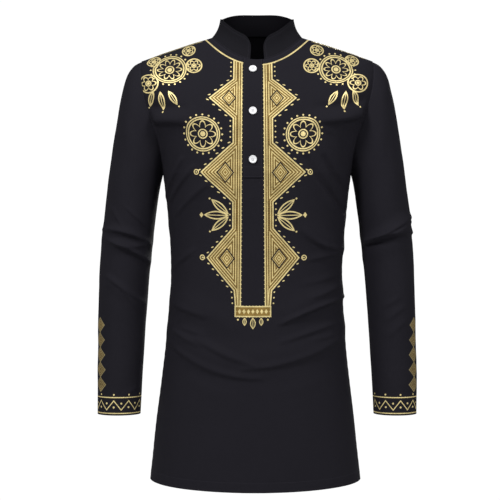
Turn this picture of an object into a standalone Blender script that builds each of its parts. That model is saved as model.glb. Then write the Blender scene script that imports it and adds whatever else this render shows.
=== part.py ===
"""Long-sleeved dashiki shirt with a stand collar and a half placket, filled out as it is worn.

Metres, +Z up. The front faces -Y and the wearer's left arm is at +X. The origin lies midway between the two
side neck points, where the shoulder seams meet the collar and the wearer's shoulders carry the shirt.
Every cloth piece is a wall: its outer face is worked out from body rings or sleeve rings, and its inner face
lies one cloth thickness further in along the same normals, so that neighbours stay parallel at their seams.
"""

from collections import namedtuple
from math import cos, exp, hypot, pi, sin, sqrt

import bmesh
import bpy
from mathutils import Vector

# Driving dimensions
CLOTH = 0.0014
COLLAR_CLOTH = 0.0024
BAND_CLOTH = 0.0012
SEAM_GAP = 0.0003
ARMHOLE_GAP = 0.0003
HEM_Z = -0.826
HEM_DROP = 0.0085  # how much lower the hem hangs at the middle than at the side seams
HEM_DROP_REACH = 0.25  # the share of the skirt that the drop fades over
UNDERARM_Z = -0.257
SHOULDER_TIP = (0.2170, -0.0445)
NECK_HALF_WIDTH = 0.085
SHOULDER_CROWN = 0.0015
ARMHOLE_BOW = 0.0055

# The placket: a slot in the front, a band over it and a band under it, all a little to the wearer's right
PLACKET_X = -0.008
SLOT_HALF_WIDTH = 0.014
BAND_HALF_WIDTH = 0.0175
BAND_END_Z = -0.268
BAND_TOP_TRIM = 0.012
BUTTON_RADIUS = 0.0072
BUTTON_THICKNESS = 0.0030
BUTTON_HEIGHTS = (-0.0690, -0.1475, -0.2352)

# The stand collar
COLLAR_GAP_HALF_WIDTH = 0.013
COLLAR_TOP_HALF_WIDTH = 0.0690
COLLAR_TOP_FRONT = (0.0590, -0.0060)
COLLAR_TOP_BACK = (0.0560, 0.0510)
COLLAR_TOP_SIDE_Z = 0.0350
COLLAR_HOLLOW = 0.0032
COLLAR_CORNER_RADIUS = 0.021
COLLAR_CORNER_STEPS = (0.0, 0.0010, 0.0035, 0.0080, 0.0140)

# How finely the walls are divided
LOWER_ROWS = 27
ARMHOLE_ROWS = 10
YOKE_ROWS = 5
FRONT_SIDE_COLUMNS = 12
BACK_HALF_COLUMNS = 11
SLEEVE_RINGS = 36
COLLAR_ROWS = 4
COLLAR_COLUMNS = 12

# Body rings below the underarm: height, half width, depth of front and back, how full the corners are, and
# how far the skirt has swung aside
BodyRing = namedtuple("BodyRing", "z half_width front back fullness middle_x")
BODY_RINGS = [
    BodyRing(-0.829, 0.1975, 0.1300, 0.1260, 0.040, -0.0034),
    BodyRing(-0.714, 0.1852, 0.1255, 0.1220, 0.042, -0.0034),
    BodyRing(-0.596, 0.1712, 0.1190, 0.1140, 0.045, -0.0026),
    BodyRing(-0.522, 0.1649, 0.1140, 0.1050, 0.048, -0.0019),
    BodyRing(-0.448, 0.1606, 0.1100, 0.0980, 0.050, -0.0010),
    BodyRing(-0.374, 0.1635, 0.1100, 0.0980, 0.052, 0.0),
    BodyRing(-0.300, 0.1710, 0.1150, 0.1040, 0.060, 0.0),
    BodyRing(-0.257, 0.1765, 0.1180, 0.1080, 0.072, 0.0),
]

# Centre lines above the underarm. Level 1 is the underarm, 2 the shoulder tip and 3 the neck seam.
CentreLine = namedtuple("CentreLine", "level front front_z back back_z fullness")
CENTRE_LINES = [
    CentreLine(1.00, 0.1180, -0.2570, 0.1080, -0.2570, 0.072),
    CentreLine(1.25, 0.1175, -0.2150, 0.1100, -0.2100, 0.070),
    CentreLine(1.50, 0.1130, -0.1740, 0.1105, -0.1600, 0.050),
    CentreLine(1.75, 0.1060, -0.1380, 0.1070, -0.1110, 0.025),
    CentreLine(2.00, 0.0965, -0.1070, 0.0990, -0.0650, 0.000),
    CentreLine(2.33, 0.0860, -0.0870, 0.0880, -0.0360, 0.000),
    CentreLine(2.67, 0.0745, -0.0670, 0.0740, -0.0110, 0.000),
    CentreLine(3.00, 0.0620, -0.0485, 0.0580, 0.0120, 0.000),
]

# Sleeve rings from the armhole to the wrist, seen from the front: outer edge, inner edge, then depth
SleeveRing = namedtuple("SleeveRing", "along outer_x outer_z inner_x inner_z mid_y half_depth")
SLEEVE_RINGS_TABLE = [
    SleeveRing(0.000, 0.2170, -0.0445, 0.1765, -0.2570, 0.003, 0.0590),
    SleeveRing(0.030, 0.2320, -0.0540, 0.1778, -0.2610, 0.003, 0.0610),
    SleeveRing(0.065, 0.2445, -0.0725, 0.1796, -0.2680, 0.003, 0.0620),
    SleeveRing(0.115, 0.2535, -0.1040, 0.1822, -0.2800, 0.004, 0.0630),
    SleeveRing(0.175, 0.2615, -0.1460, 0.1852, -0.2970, 0.004, 0.0635),
    SleeveRing(0.255, 0.2708, -0.2020, 0.1890, -0.3250, 0.005, 0.0635),
    SleeveRing(0.350, 0.2798, -0.2710, 0.1938, -0.3650, 0.005, 0.0625),
    SleeveRing(0.460, 0.2892, -0.3490, 0.1997, -0.4180, 0.005, 0.0600),
    SleeveRing(0.565, 0.2950, -0.4230, 0.2044, -0.4710, 0.003, 0.0570),
    SleeveRing(0.680, 0.2972, -0.5020, 0.2085, -0.5320, -0.003, 0.0530),
    SleeveRing(0.800, 0.2978, -0.5820, 0.2122, -0.5980, -0.010, 0.0480),
    SleeveRing(0.900, 0.2978, -0.6450, 0.2150, -0.6520, -0.016, 0.0440),
    SleeveRing(1.000, 0.2970, -0.7030, 0.2172, -0.7030, -0.021, 0.0410),
]
# Sleeve rings lie closer together at the armhole and round the elbow
ARMHOLE_CROWDING = 1.15
ELBOW_CROWDING = 0.3
ELBOW_ALONG = 0.45

# The largest folds: each runs from one point to another, bows to one side, and stands up by its height.
# The two numbers of a point are x and z. A sleeve's folds are those of the sleeve at +X, front face first.
Fold = namedtuple("Fold", "from_a from_b to_a to_b bow width height")
FRONT_FOLDS = [
    Fold(-0.190, -0.166, -0.105, -0.162, 0.006, 0.020, 0.0060),
    Fold(0.110, -0.158, 0.192, -0.150, -0.004, 0.020, 0.0060),
    Fold(-0.152, -0.352, -0.080, -0.262, 0.004, 0.017, 0.0050),
    Fold(0.086, -0.232, 0.156, -0.330, 0.004, 0.017, 0.0050),
    Fold(0.075, -0.345, 0.156, -0.392, -0.008, 0.018, 0.0050),
    Fold(0.158, -0.475, 0.060, -0.512, -0.006, 0.019, 0.0065),
    Fold(-0.150, -0.490, -0.050, -0.535, 0.006, 0.019, 0.0050),
    Fold(-0.158, -0.548, 0.030, -0.612, -0.018, 0.019, 0.0065),
    Fold(-0.050, -0.580, 0.162, -0.540, -0.024, 0.019, 0.0065),
]
BACK_FOLDS = [
    Fold(-0.150, -0.330, -0.060, -0.250, 0.006, 0.020, 0.0050),
    Fold(0.150, -0.345, 0.055, -0.255, -0.006, 0.020, 0.0050),
    Fold(-0.150, -0.440, 0.020, -0.480, -0.016, 0.021, 0.0065),
    Fold(-0.040, -0.425, 0.152, -0.455, -0.014, 0.021, 0.0060),
    Fold(-0.155, -0.520, 0.120, -0.545, -0.026, 0.022, 0.0060),
]
LEFT_SLEEVE_FRONT_FOLDS = [
    Fold(0.200, -0.382, 0.286, -0.362, 0.002, 0.011, 0.0055),
    Fold(0.206, -0.405, 0.284, -0.386, 0.002, 0.011, 0.0045),
    Fold(0.228, -0.370, 0.288, -0.331, 0.002, 0.010, 0.0035),
]
LEFT_SLEEVE_BACK_FOLDS = [
    Fold(0.202, -0.372, 0.282, -0.338, -0.004, 0.013, 0.0050),
    Fold(0.206, -0.412, 0.286, -0.382, -0.004, 0.012, 0.0045),
]
RIGHT_SLEEVE_FRONT_FOLDS = [
    Fold(0.282, -0.358, 0.206, -0.378, -0.006, 0.010, 0.0050),
    Fold(0.282, -0.377, 0.204, -0.413, -0.005, 0.010, 0.0055),
    Fold(0.290, -0.456, 0.222, -0.494, -0.003, 0.012, 0.0035),
]
RIGHT_SLEEVE_BACK_FOLDS = [
    Fold(0.282, -0.346, 0.204, -0.380, 0.004, 0.013, 0.0050),
    Fold(0.284, -0.392, 0.206, -0.420, 0.004, 0.012, 0.0045),
]
FOLD_FADE = 0.025
SLEEVE_EDGE_FADE = 0.35

STEP = 1e-3
QUARTER = pi / 2
UP = Vector((0, 0, 1))


def table_value(rows, column, key, at):
    """Reads a column of a table at a key, by a smooth curve through its rows."""
    keys = [getattr(row, key) for row in rows]
    values = [getattr(row, column) for row in rows]
    at = min(max(at, keys[0]), keys[-1])
    i = max(k for k in range(len(keys) - 1) if keys[k] <= at or k == 0)

    def slope(k):
        low, high = max(k - 1, 0), min(k + 1, len(keys) - 1)
        return (values[high] - values[low]) / (keys[high] - keys[low])

    span = keys[i + 1] - keys[i]
    t = (at - keys[i]) / span
    return (
        values[i] * (1 + 2 * t) * (1 - t) ** 2
        + values[i + 1] * t * t * (3 - 2 * t)
        + slope(i) * span * t * (1 - t) ** 2
        - slope(i + 1) * span * t * t * (1 - t)
    )


def fold_height(folds, a, b):
    """How far the folds lift the cloth at one place: each is a soft ridge that dies out at both ends."""
    total = 0.0
    for fold in folds:
        run, rise = fold.to_a - fold.from_a, fold.to_b - fold.from_b
        length = hypot(run, rise)
        t = ((a - fold.from_a) * run + (b - fold.from_b) * rise) / length**2
        if -0.2 < t < 1.2:
            inside = min(max(t, 0.0), 1.0)
            across = ((b - fold.from_b) * run - (a - fold.from_a) * rise) / length
            across -= fold.bow * 4 * inside * (1 - inside)
            beyond = (t - inside) * length
            taper = sqrt(sin(pi * (0.08 + 0.84 * inside)))
            total += fold.height * taper * exp(-(across**2 + beyond**2) / fold.width**2)
    return total


def sleeve_base(along, angle):
    """A point of the sleeve at +X. Angle 0 is its outer edge and pi / 2 its front."""
    read = {c: table_value(SLEEVE_RINGS_TABLE, c, "along", along) for c in SleeveRing._fields[1:]}
    middle = Vector((read["outer_x"] + read["inner_x"], 0, read["outer_z"] + read["inner_z"])) / 2
    radius = Vector((read["outer_x"] - read["inner_x"], 0, read["outer_z"] - read["inner_z"])) / 2
    point = middle + radius * cos(angle)
    point.y = read["mid_y"] - read["half_depth"] * sin(angle)
    fade = max(0.0, 1 - along / 0.2)
    point.x += ARMHOLE_BOW * fade * sin(pi * cos(angle))
    return point


def armhole_point(angle):
    return sleeve_base(0.0, angle)


def ring_shape(angle, fullness):
    """Where a body ring is at an angle from its centre: shares of its half width and of its depth."""
    swell = 1 + fullness * sin(2 * angle) ** 2
    return sin(angle) * swell, cos(angle) * swell


def solve(function, target, low, high):
    """The angle at which a rising function reaches a target."""
    for _ in range(40):
        middle = (low + high) / 2
        low, high = (middle, high) if function(middle) < target else (low, middle)
    return (low + high) / 2


BodyRow = namedtuple("BodyRow", "half_width depth centre_z side_z fullness end middle_x")


def body_row(level, front):
    """One ring of the front or the back. Levels: 0 hem, 1 underarm, 2 shoulder tip, 3 neck."""
    face = "front" if front else "back"
    if level <= 1:
        z = HEM_Z + (UNDERARM_Z - HEM_Z) * max(level, 0.0)
        half_width, depth, fullness, middle_x = (
            table_value(BODY_RINGS, c, "z", z) for c in ("half_width", face, "fullness", "middle_x")
        )
        drop = HEM_DROP * max(0.0, 1 - level / HEM_DROP_REACH) ** 2
        return BodyRow(half_width, depth, z - drop, z, fullness, QUARTER, middle_x)
    depth, centre_z, fullness = (
        table_value(CENTRE_LINES, c, "level", level) for c in (face, face + "_z", "fullness")
    )
    if level >= 2:
        share = min(level, 3.0) - 2
        half_width = SHOULDER_TIP[0] + (NECK_HALF_WIDTH - SHOULDER_TIP[0]) * share
        side_z = SHOULDER_TIP[1] * (1 - share) + SHOULDER_CROWN * sin(pi * share)
        return BodyRow(half_width, depth, centre_z, side_z, fullness, QUARTER, 0.0)
    edge = armhole_point(pi * (2 - level) * (1 if front else -1))
    edge_depth = min(max(abs(edge.y), 0.0), depth)
    end = QUARTER - solve(lambda a: ring_shape(QUARTER - a, fullness)[1], edge_depth / depth, 0, QUARTER)
    width_share = ring_shape(end, fullness)[0]
    side_z = centre_z + (edge.z - centre_z) / sin(end) ** 2
    return BodyRow(edge.x / width_share, depth, centre_z, side_z, fullness, end, 0.0)


def on_row(row, angle, front):
    across, outward = ring_shape(angle, row.fullness)
    y = row.depth * outward
    z = row.centre_z + (row.side_z - row.centre_z) * sin(angle) ** 2
    return Vector((row.middle_x + row.half_width * across, -y if front else y, z))


def body_normal(level, angle, front):
    """The outward direction, from the slopes of the smooth surface along and across its rings."""
    low, high = max(level - STEP, 0.0), min(level + STEP, 3.0)
    up = on_row(body_row(high, front), angle, front) - on_row(body_row(low, front), angle, front)
    row = body_row(level, front)
    if abs(abs(angle) - QUARTER) < 1e-6:  # across a seam the ring runs straight towards the back
        along = Vector((0, 1 if angle > 0 else -1, 0))
    else:
        along = on_row(row, angle + STEP, front) - on_row(row, angle - STEP, front)
        along = along if front else -along
    return along.cross(up).normalized()


def body_point(level, angle, front, offset):
    """A point of the shirt's body, moved out from the cloth's outer face by an offset."""
    row = body_row(level, front)
    base = on_row(row, angle, front)
    to_seam = (row.end - abs(angle)) * row.half_width
    lift = fold_height(FRONT_FOLDS if front else BACK_FOLDS, base.x, base.z)
    lift *= min(1.0, to_seam / FOLD_FADE) * min(1.0, (3.0 - level) / 0.3)
    return base + body_normal(level, angle, front) * (lift + offset)


def finish(bm, name, material, smooth_angle=0.6):
    bmesh.ops.recalc_face_normals(bm, faces=bm.faces)
    mesh = bpy.data.meshes.new(name)
    bm.to_mesh(mesh)
    bm.free()
    mesh.materials.append(material)
    mesh.shade_smooth()
    mesh.set_sharp_from_angle(angle=smooth_angle)
    obj = bpy.data.objects.new(name, mesh)
    bpy.context.scene.collection.objects.link(obj)
    return obj


def make_wall(name, material, columns, rows, place, thickness, closed=False, skip=None):
    """A cloth wall from a grid: place(column, row, offset) gives its points, and skip leaves cells open."""
    bm = bmesh.new()
    bmesh.ops.create_grid(bm, x_segments=columns, y_segments=rows, size=0.5)
    where = {
        v: (round((v.co.x + 0.5) * columns), round((v.co.y + 0.5) * rows)) for v in bm.verts
    }
    if skip:
        open_cells = [f for f in bm.faces if skip(*cell_of(f, where))]
        bmesh.ops.delete(bm, geom=open_cells, context="FACES")
    for v in bm.verts:
        v.co = place(*where[v], 0.0)
    outer = {v: where[v] for v in bm.verts}
    if closed:
        last = {r: v for v, (c, r) in outer.items() if c == columns}
        first = {r: v for v, (c, r) in outer.items() if c == 0}
        bmesh.ops.weld_verts(bm, targetmap={last[r]: first[r] for r in first})
        outer = {v: rc for v, rc in outer.items() if v.is_valid}
    new = bmesh.ops.duplicate(bm, geom=bm.verts[:] + bm.edges[:] + bm.faces[:])
    twin = new["vert_map"]
    for v, at in outer.items():
        twin[v].co = place(*at, -thickness)
    inner_faces = [g for g in new["geom"] if isinstance(g, bmesh.types.BMFace)]
    bmesh.ops.reverse_faces(bm, faces=inner_faces)
    rim = [e for e in bm.edges if e.is_boundary and e.verts[0] in outer]
    for e in rim:
        a, b = e.verts
        bm.faces.new((a, b, twin[b], twin[a]))
    return finish(bm, name, material)


def cell_of(face, where):
    """The lowest column and row of a grid cell."""
    corners = [where[v] for v in face.verts]
    return min(c for c, _ in corners), min(r for _, r in corners)


def levels():
    """The height levels of the body's grid rows."""
    lower = [i / LOWER_ROWS for i in range(LOWER_ROWS)]
    armhole = [1 + i / ARMHOLE_ROWS for i in range(ARMHOLE_ROWS)]
    yoke = [2 + i / YOKE_ROWS for i in range(YOKE_ROWS + 1)]
    return lower + armhole + yoke


def angle_at(row, x):
    """The angle at which a ring passes a given distance from the centre line."""
    across = x - row.middle_x
    return solve(lambda a: row.half_width * ring_shape(a, row.fullness)[0], across, -QUARTER, QUARTER)


def last_angle(row):
    """Where a ring ends: at the armhole edge, or just short of the side or shoulder seam."""
    return row.end - (SEAM_GAP / 2 / row.depth if row.end == QUARTER else 0)


def front_angle(row, column):
    """Columns -1 to 1 are the slot's; the others share out the rest of the ring on either side."""
    side = -1 if column < 0 else 1
    slot = angle_at(row, PLACKET_X + max(-1, min(1, column)) * SLOT_HALF_WIDTH)
    beyond = max(abs(column) - 1, 0) / FRONT_SIDE_COLUMNS
    return slot + (side * last_angle(row) - slot) * beyond


def back_angle(row, column):
    return last_angle(row) * column / BACK_HALF_COLUMNS


def make_front(material):
    half = FRONT_SIDE_COLUMNS + 1
    heights = levels()

    def place(column, row, offset):
        level = heights[row]
        angle = front_angle(body_row(level, True), column - half)
        return body_point(level, angle, True, offset)

    def in_slot(column, row):
        return column in (half - 1, half) and row >= LOWER_ROWS

    return make_wall("front", material, 2 * half, len(heights) - 1, place, CLOTH, skip=in_slot)


def make_back(material):
    heights = levels()

    def place(column, row, offset):
        level = heights[row]
        angle = back_angle(body_row(level, False), column - BACK_HALF_COLUMNS)
        return body_point(level, angle, False, offset)

    return make_wall("back", material, 2 * BACK_HALF_COLUMNS, len(heights) - 1, place, CLOTH)


def sleeve_normal(along, angle):
    low, high = max(along - STEP, 0.0), min(along + STEP, 1.0)
    down = sleeve_base(high, angle) - sleeve_base(low, angle)
    around = sleeve_base(along, angle + STEP) - sleeve_base(along, angle - STEP)
    return around.cross(down).normalized()


def sleeve_seam(angle):
    """How the sleeve's wall starts at the armhole: how far it is moved clear, and its outward direction.

    Where the crease between body and sleeve is a valley, the wall starts square to the sleeve, and where it
    is a ridge it starts square to the body, so that the two walls never cross.
    """
    turned = angle if angle <= pi else angle - 2 * pi
    level = 2 - abs(turned) / pi
    front = turned >= 0
    end = body_row(level, front).end
    outward = body_normal(level, end, front)
    around = armhole_point(angle + STEP) - armhole_point(angle - STEP)
    across = outward.cross(around).normalized()
    own = sleeve_normal(0.0, angle)
    valley = (sleeve_base(STEP, angle) - armhole_point(angle)).dot(outward) > 0
    return (across + outward) * ARMHOLE_GAP, own if valley else outward


def ring_place(row):
    """How far down the sleeve a ring of its grid lies, as a share of the way."""
    share = (row / SLEEVE_RINGS) ** ARMHOLE_CROWDING
    wave = sin(2 * pi * (share - ELBOW_ALONG)) + sin(2 * pi * ELBOW_ALONG)
    return share - ELBOW_CROWDING / (2 * pi) * wave


def make_sleeve(name, material, side, front_folds, back_folds):
    """A sleeve tube. Its first ring follows the armhole, and its last one is the open wrist hem."""
    columns = 2 * ARMHOLE_ROWS

    def place(column, row, offset):
        along = ring_place(row)
        angle = 2 * pi * (column % columns) / columns
        base = sleeve_base(along, angle)
        if row == 0:
            clear, outward = sleeve_seam(angle)
            point = base + clear + outward * offset
        else:
            lift = fold_height(front_folds if angle < pi else back_folds, base.x, base.z)
            lift *= min(1.0, along / 0.1) * min(1.0, abs(sin(angle)) / SLEEVE_EDGE_FADE)
            point = base + sleeve_normal(along, angle) * (lift + offset)
        point.x *= side
        return point

    return make_wall(name, material, columns, SLEEVE_RINGS, place, CLOTH, closed=True)


def neck_point(angle):
    """The neck seam at an angle from the front centre, all the way round."""
    front = abs(angle) <= QUARTER
    row = body_row(3.0, front)
    turned = angle if front else (pi - abs(angle)) * (1 if angle > 0 else -1)
    return on_row(row, turned, front)


def collar_top(angle):
    front = abs(angle) <= QUARTER
    depth, z = COLLAR_TOP_FRONT if front else COLLAR_TOP_BACK
    share = cos(angle) ** 2 if front else 1 - sin(angle) ** 4
    return Vector(
        (
            COLLAR_TOP_HALF_WIDTH * sin(angle),
            -depth * cos(angle),
            COLLAR_TOP_SIDE_Z + (z - COLLAR_TOP_SIDE_Z) * share,
        )
    )


def collar_angles():
    """Angles of the collar's columns: small steps round each front corner, then the body's own columns."""
    first = angle_at(body_row(3.0, True), COLLAR_GAP_HALF_WIDTH)
    corner = [first + step / NECK_HALF_WIDTH for step in COLLAR_CORNER_STEPS]
    last = corner[-1]
    front = [last + (QUARTER - last) * (i + 1) / COLLAR_COLUMNS for i in range(COLLAR_COLUMNS)]
    back = [QUARTER * (1 + (i + 1) / COLLAR_COLUMNS) for i in range(COLLAR_COLUMNS)]
    right_half = corner + front + back
    return right_half + [2 * pi - a for a in reversed(right_half[:-1])]


def make_collar(material):
    """The stand collar: a band that leans in from the neck seam, open and round-cornered at the front."""
    angles = collar_angles()
    start = angles[0]

    def signed(angle):
        return angle if angle <= pi else angle - 2 * pi

    def height_share(angle):
        edge = max(abs(signed(angle)) - start, 0.0) * NECK_HALF_WIDTH
        height = (collar_top(signed(angle)) - neck_point(signed(angle))).length
        if edge >= COLLAR_CORNER_RADIUS:
            return 1.0
        drop = COLLAR_CORNER_RADIUS - sqrt(COLLAR_CORNER_RADIUS**2 - (COLLAR_CORNER_RADIUS - edge) ** 2)
        return 1 - drop / height

    def place(column, row, offset):
        angle = signed(angles[column])
        low, high = neck_point(angle), collar_top(angle)
        rise = (high - low).normalized()
        around = neck_point(angle + STEP) - neck_point(angle - STEP)
        if abs(abs(angle) - pi) < STEP:
            around = Vector((-1, 0, 0))
        outward = around.cross(rise).normalized()
        share = row / COLLAR_ROWS * height_share(angles[column])
        seam = rise * ARMHOLE_GAP * (1 - share)
        hollow = COLLAR_HOLLOW * sin(pi * share)
        return low.lerp(high, share) + seam + outward * (offset - hollow)

    columns = len(angles) - 1
    return make_wall("collar", material, columns, COLLAR_ROWS, place, COLLAR_CLOTH)


def make_band(name, material, out_face):
    """One placket band, on the front's own rows, its outer face at out_face from the front's outer face."""
    low_level = (BAND_END_Z - HEM_Z) / (UNDERARM_Z - HEM_Z)
    heights = [low_level] + [level for level in levels() if level >= 1]
    heights[-1] -= BAND_TOP_TRIM
    edges = (-BAND_HALF_WIDTH, -SLOT_HALF_WIDTH, 0.0, SLOT_HALF_WIDTH, BAND_HALF_WIDTH)

    def place(column, row, offset):
        level = heights[row]
        angle = angle_at(body_row(level, True), PLACKET_X + edges[column])
        return body_point(level, angle, True, out_face + offset)

    return make_wall(name, material, len(edges) - 1, len(heights) - 1, place, BAND_CLOTH)


def make_button(name, material, z, seat):
    """A turned button with a raised rim round a shallow dish, its back just clear of the placket."""
    level = solve(lambda s: body_row(1 + s, True).centre_z, z, 0.0, 2.0) + 1
    angle = angle_at(body_row(level, True), PLACKET_X)
    normal = body_normal(level, angle, True)
    foot = body_point(level, angle, True, seat)
    rim = 0.0011
    dish = 0.0008
    profile = [
        (0.0, 0.0),
        (BUTTON_RADIUS * 0.72, 0.0),
        (BUTTON_RADIUS, BUTTON_THICKNESS * 0.42),
        (BUTTON_RADIUS * 0.97, BUTTON_THICKNESS * 0.80),
        (BUTTON_RADIUS - rim * 0.6, BUTTON_THICKNESS),
        (BUTTON_RADIUS - rim * 1.6, BUTTON_THICKNESS - dish * 0.4),
        (BUTTON_RADIUS * 0.45, BUTTON_THICKNESS - dish),
        (0.0, BUTTON_THICKNESS - dish),
    ]
    bm = bmesh.new()
    points = [bm.verts.new((r, 0, h)) for r, h in profile]
    edges = [bm.edges.new(pair) for pair in zip(points, points[1:])]
    bmesh.ops.spin(
        bm, geom=points + edges, axis=UP, cent=(0, 0, 0), steps=20, angle=2 * pi, use_merge=True
    )
    bmesh.ops.remove_doubles(bm, verts=bm.verts, dist=1e-6)
    turn = UP.rotation_difference(normal).to_matrix().to_4x4()
    bmesh.ops.transform(bm, matrix=turn, verts=bm.verts)
    bmesh.ops.translate(bm, vec=foot, verts=bm.verts)
    return finish(bm, name, material)


def make_material(name, colour, roughness, metallic=0.0):
    material = bpy.data.materials.new(name)
    material.use_nodes = True
    shader = material.node_tree.nodes["Principled BSDF"]
    shader.inputs["Base Color"].default_value = (*colour, 1)
    shader.inputs["Roughness"].default_value = roughness
    shader.inputs["Metallic"].default_value = metallic
    return material


def main():
    for obj in list(bpy.data.objects):
        bpy.data.objects.remove(obj)
    cloth = make_material("black_cloth", (0.012, 0.012, 0.016), 0.62)
    band_cloth = make_material("placket_cloth", (0.014, 0.014, 0.019), 0.62)
    pearl = make_material("white_button", (0.86, 0.86, 0.88), 0.25)
    make_front(cloth)
    make_back(cloth)
    make_sleeve("sleeve_left", cloth, 1, LEFT_SLEEVE_FRONT_FOLDS, LEFT_SLEEVE_BACK_FOLDS)
    make_sleeve("sleeve_right", cloth, -1, RIGHT_SLEEVE_FRONT_FOLDS, RIGHT_SLEEVE_BACK_FOLDS)
    make_collar(cloth)
    make_band("placket_over", band_cloth, SEAM_GAP + BAND_CLOTH)
    make_band("placket_under", band_cloth, -CLOTH - SEAM_GAP)
    seat = 2 * SEAM_GAP + BAND_CLOTH
    for number, z in enumerate(BUTTON_HEIGHTS, start=1):
        make_button(f"button_{number}", pearl, z, seat)


main()
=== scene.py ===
from functools import lru_cache
from math import cos, exp, hypot, pi, radians, sin, sqrt

import bmesh
import bpy
import numpy as np
from mathutils import Matrix, Vector, noise


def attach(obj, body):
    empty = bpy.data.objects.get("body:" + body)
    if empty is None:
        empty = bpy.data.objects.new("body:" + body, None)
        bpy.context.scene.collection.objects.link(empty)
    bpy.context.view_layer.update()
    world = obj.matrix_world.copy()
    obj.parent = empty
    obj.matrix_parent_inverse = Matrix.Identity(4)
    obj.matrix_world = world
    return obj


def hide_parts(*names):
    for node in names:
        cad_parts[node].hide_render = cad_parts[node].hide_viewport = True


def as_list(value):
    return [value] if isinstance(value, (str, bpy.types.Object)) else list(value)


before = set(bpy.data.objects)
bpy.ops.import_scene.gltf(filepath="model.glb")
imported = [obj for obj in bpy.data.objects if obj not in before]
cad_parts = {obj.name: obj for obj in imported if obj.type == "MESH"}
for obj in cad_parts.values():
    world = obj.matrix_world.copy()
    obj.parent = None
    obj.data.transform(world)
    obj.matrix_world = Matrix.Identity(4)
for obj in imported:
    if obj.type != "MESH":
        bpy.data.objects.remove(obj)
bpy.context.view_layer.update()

# metres, up is +Z: the front faces -Y and the wearer's left arm is at +X

shirt = {
    "hemZ": -0.826,
    "hemDrop": 0.0085,  # how much lower it hangs at the middle than at the side seams
    "hemDropReach": 0.25,  # the share of the skirt that the drop fades over
    "underarmZ": -0.257,
    "shoulderTip": (0.217, -0.0445),
    "neckHalfWidth": 0.085,
    "shoulderCrown": 0.0015,
    "armholeBow": 0.0055,
    "armholeBowReach": 0.2,  # the share of the sleeve that it fades over
    "clothThickness": 0.0014,
    "seamGap": 0.00005,  # half of it on each side of a side or shoulder seam
    "foldFade": 0.025,  # folds die out this far from a side seam
    "neckFade": 0.3,  # and over this share of the yoke below the neck
    "neckRollFade": 0.1,
    "shoulderTurn": (1.2, 2.0),  # the levels between which the way up turns towards the back
    "sharpAngle": 50,
}

# rings of the body: height, half width, depth in front, depth behind, fullness of the corners, middle x
bodyRings = [
    (-0.829, 0.1975, 0.13, 0.126, 0.04, -0.0034),
    (-0.714, 0.1852, 0.1255, 0.122, 0.042, -0.0034),
    (-0.596, 0.1712, 0.119, 0.114, 0.045, -0.0026),
    (-0.522, 0.1649, 0.114, 0.105, 0.048, -0.0019),
    (-0.448, 0.1606, 0.11, 0.098, 0.05, -0.001),
    (-0.374, 0.1635, 0.11, 0.098, 0.052, 0),
    (-0.3, 0.171, 0.115, 0.104, 0.06, 0),
    (-0.257, 0.1765, 0.118, 0.108, 0.072, 0),
]

# centre lines: level (1 underarm, 2 shoulder tip, 3 neck), front depth, front z, back depth, back z, fullness
centreLines = [
    (1, 0.118, -0.257, 0.108, -0.257, 0.072),
    (1.25, 0.1175, -0.215, 0.11, -0.21, 0.07),
    (1.5, 0.113, -0.174, 0.1105, -0.16, 0.05),
    (1.75, 0.106, -0.138, 0.107, -0.111, 0.025),
    (2, 0.0965, -0.107, 0.099, -0.065, 0),
    (2.33, 0.086, -0.087, 0.088, -0.036, 0),
    (2.67, 0.0745, -0.067, 0.074, -0.011, 0),
    (3, 0.062, -0.0485, 0.058, 0.012, 0),
]

# rings of a sleeve: share of the way down, outer x, outer z, inner x, inner z, middle y, half depth
sleeveRings = [
    (0, 0.217, -0.0445, 0.1765, -0.257, 0.003, 0.059),
    (0.03, 0.232, -0.054, 0.1778, -0.261, 0.003, 0.061),
    (0.065, 0.2445, -0.0725, 0.1796, -0.268, 0.003, 0.062),
    (0.115, 0.2535, -0.104, 0.1822, -0.28, 0.004, 0.063),
    (0.175, 0.2615, -0.146, 0.1852, -0.297, 0.004, 0.0635),
    (0.255, 0.2708, -0.202, 0.189, -0.325, 0.005, 0.0635),
    (0.35, 0.2798, -0.271, 0.1938, -0.365, 0.005, 0.0625),
    (0.46, 0.2892, -0.349, 0.1997, -0.418, 0.005, 0.06),
    (0.565, 0.295, -0.423, 0.2044, -0.471, 0.003, 0.057),
    (0.68, 0.2972, -0.502, 0.2085, -0.532, -0.003, 0.053),
    (0.8, 0.2978, -0.582, 0.2122, -0.598, -0.01, 0.048),
    (0.9, 0.2978, -0.645, 0.215, -0.652, -0.016, 0.044),
    (1, 0.297, -0.703, 0.2172, -0.703, -0.021, 0.041),
]

quarter = pi / 2
step = 1e-3  # how far apart two places are taken to read a slope
tiny = 1e-6
halvings = 40  # of a range, when solving
up = Vector((0, 0, 1))


def tableValue(rows, column, at):  # a smooth curve through the rows, whose first column is the key
    keys = [row[0] for row in rows]
    values = [row[column] for row in rows]
    at = min(max(at, keys[0]), keys[-1])
    i = max(k for k in range(len(keys) - 1) if keys[k] <= at or k == 0)

    def slope(k):
        low, high = max(k - 1, 0), min(k + 1, len(keys) - 1)
        return (values[high] - values[low]) / (keys[high] - keys[low])

    span = keys[i + 1] - keys[i]
    t = (at - keys[i]) / span
    return (
        values[i] * (1 + 2 * t) * (1 - t) ** 2
        + values[i + 1] * t * t * (3 - 2 * t)
        + slope(i) * span * t * (1 - t) ** 2
        - slope(i + 1) * span * t * t * (1 - t)
    )


def smooth(low, high, x):  # 0 below low, 1 above high, eased between
    t = min(max((x - low) / (high - low), 0.0), 1.0)
    return t * t * (3 - 2 * t)


def crowded(share, middle, spread):  # an even share of a run, moved so that shares crowd round a middle
    turn = 2 * pi * middle
    return share - spread / (2 * pi) * (sin(2 * pi * share - turn) + sin(turn))


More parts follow.
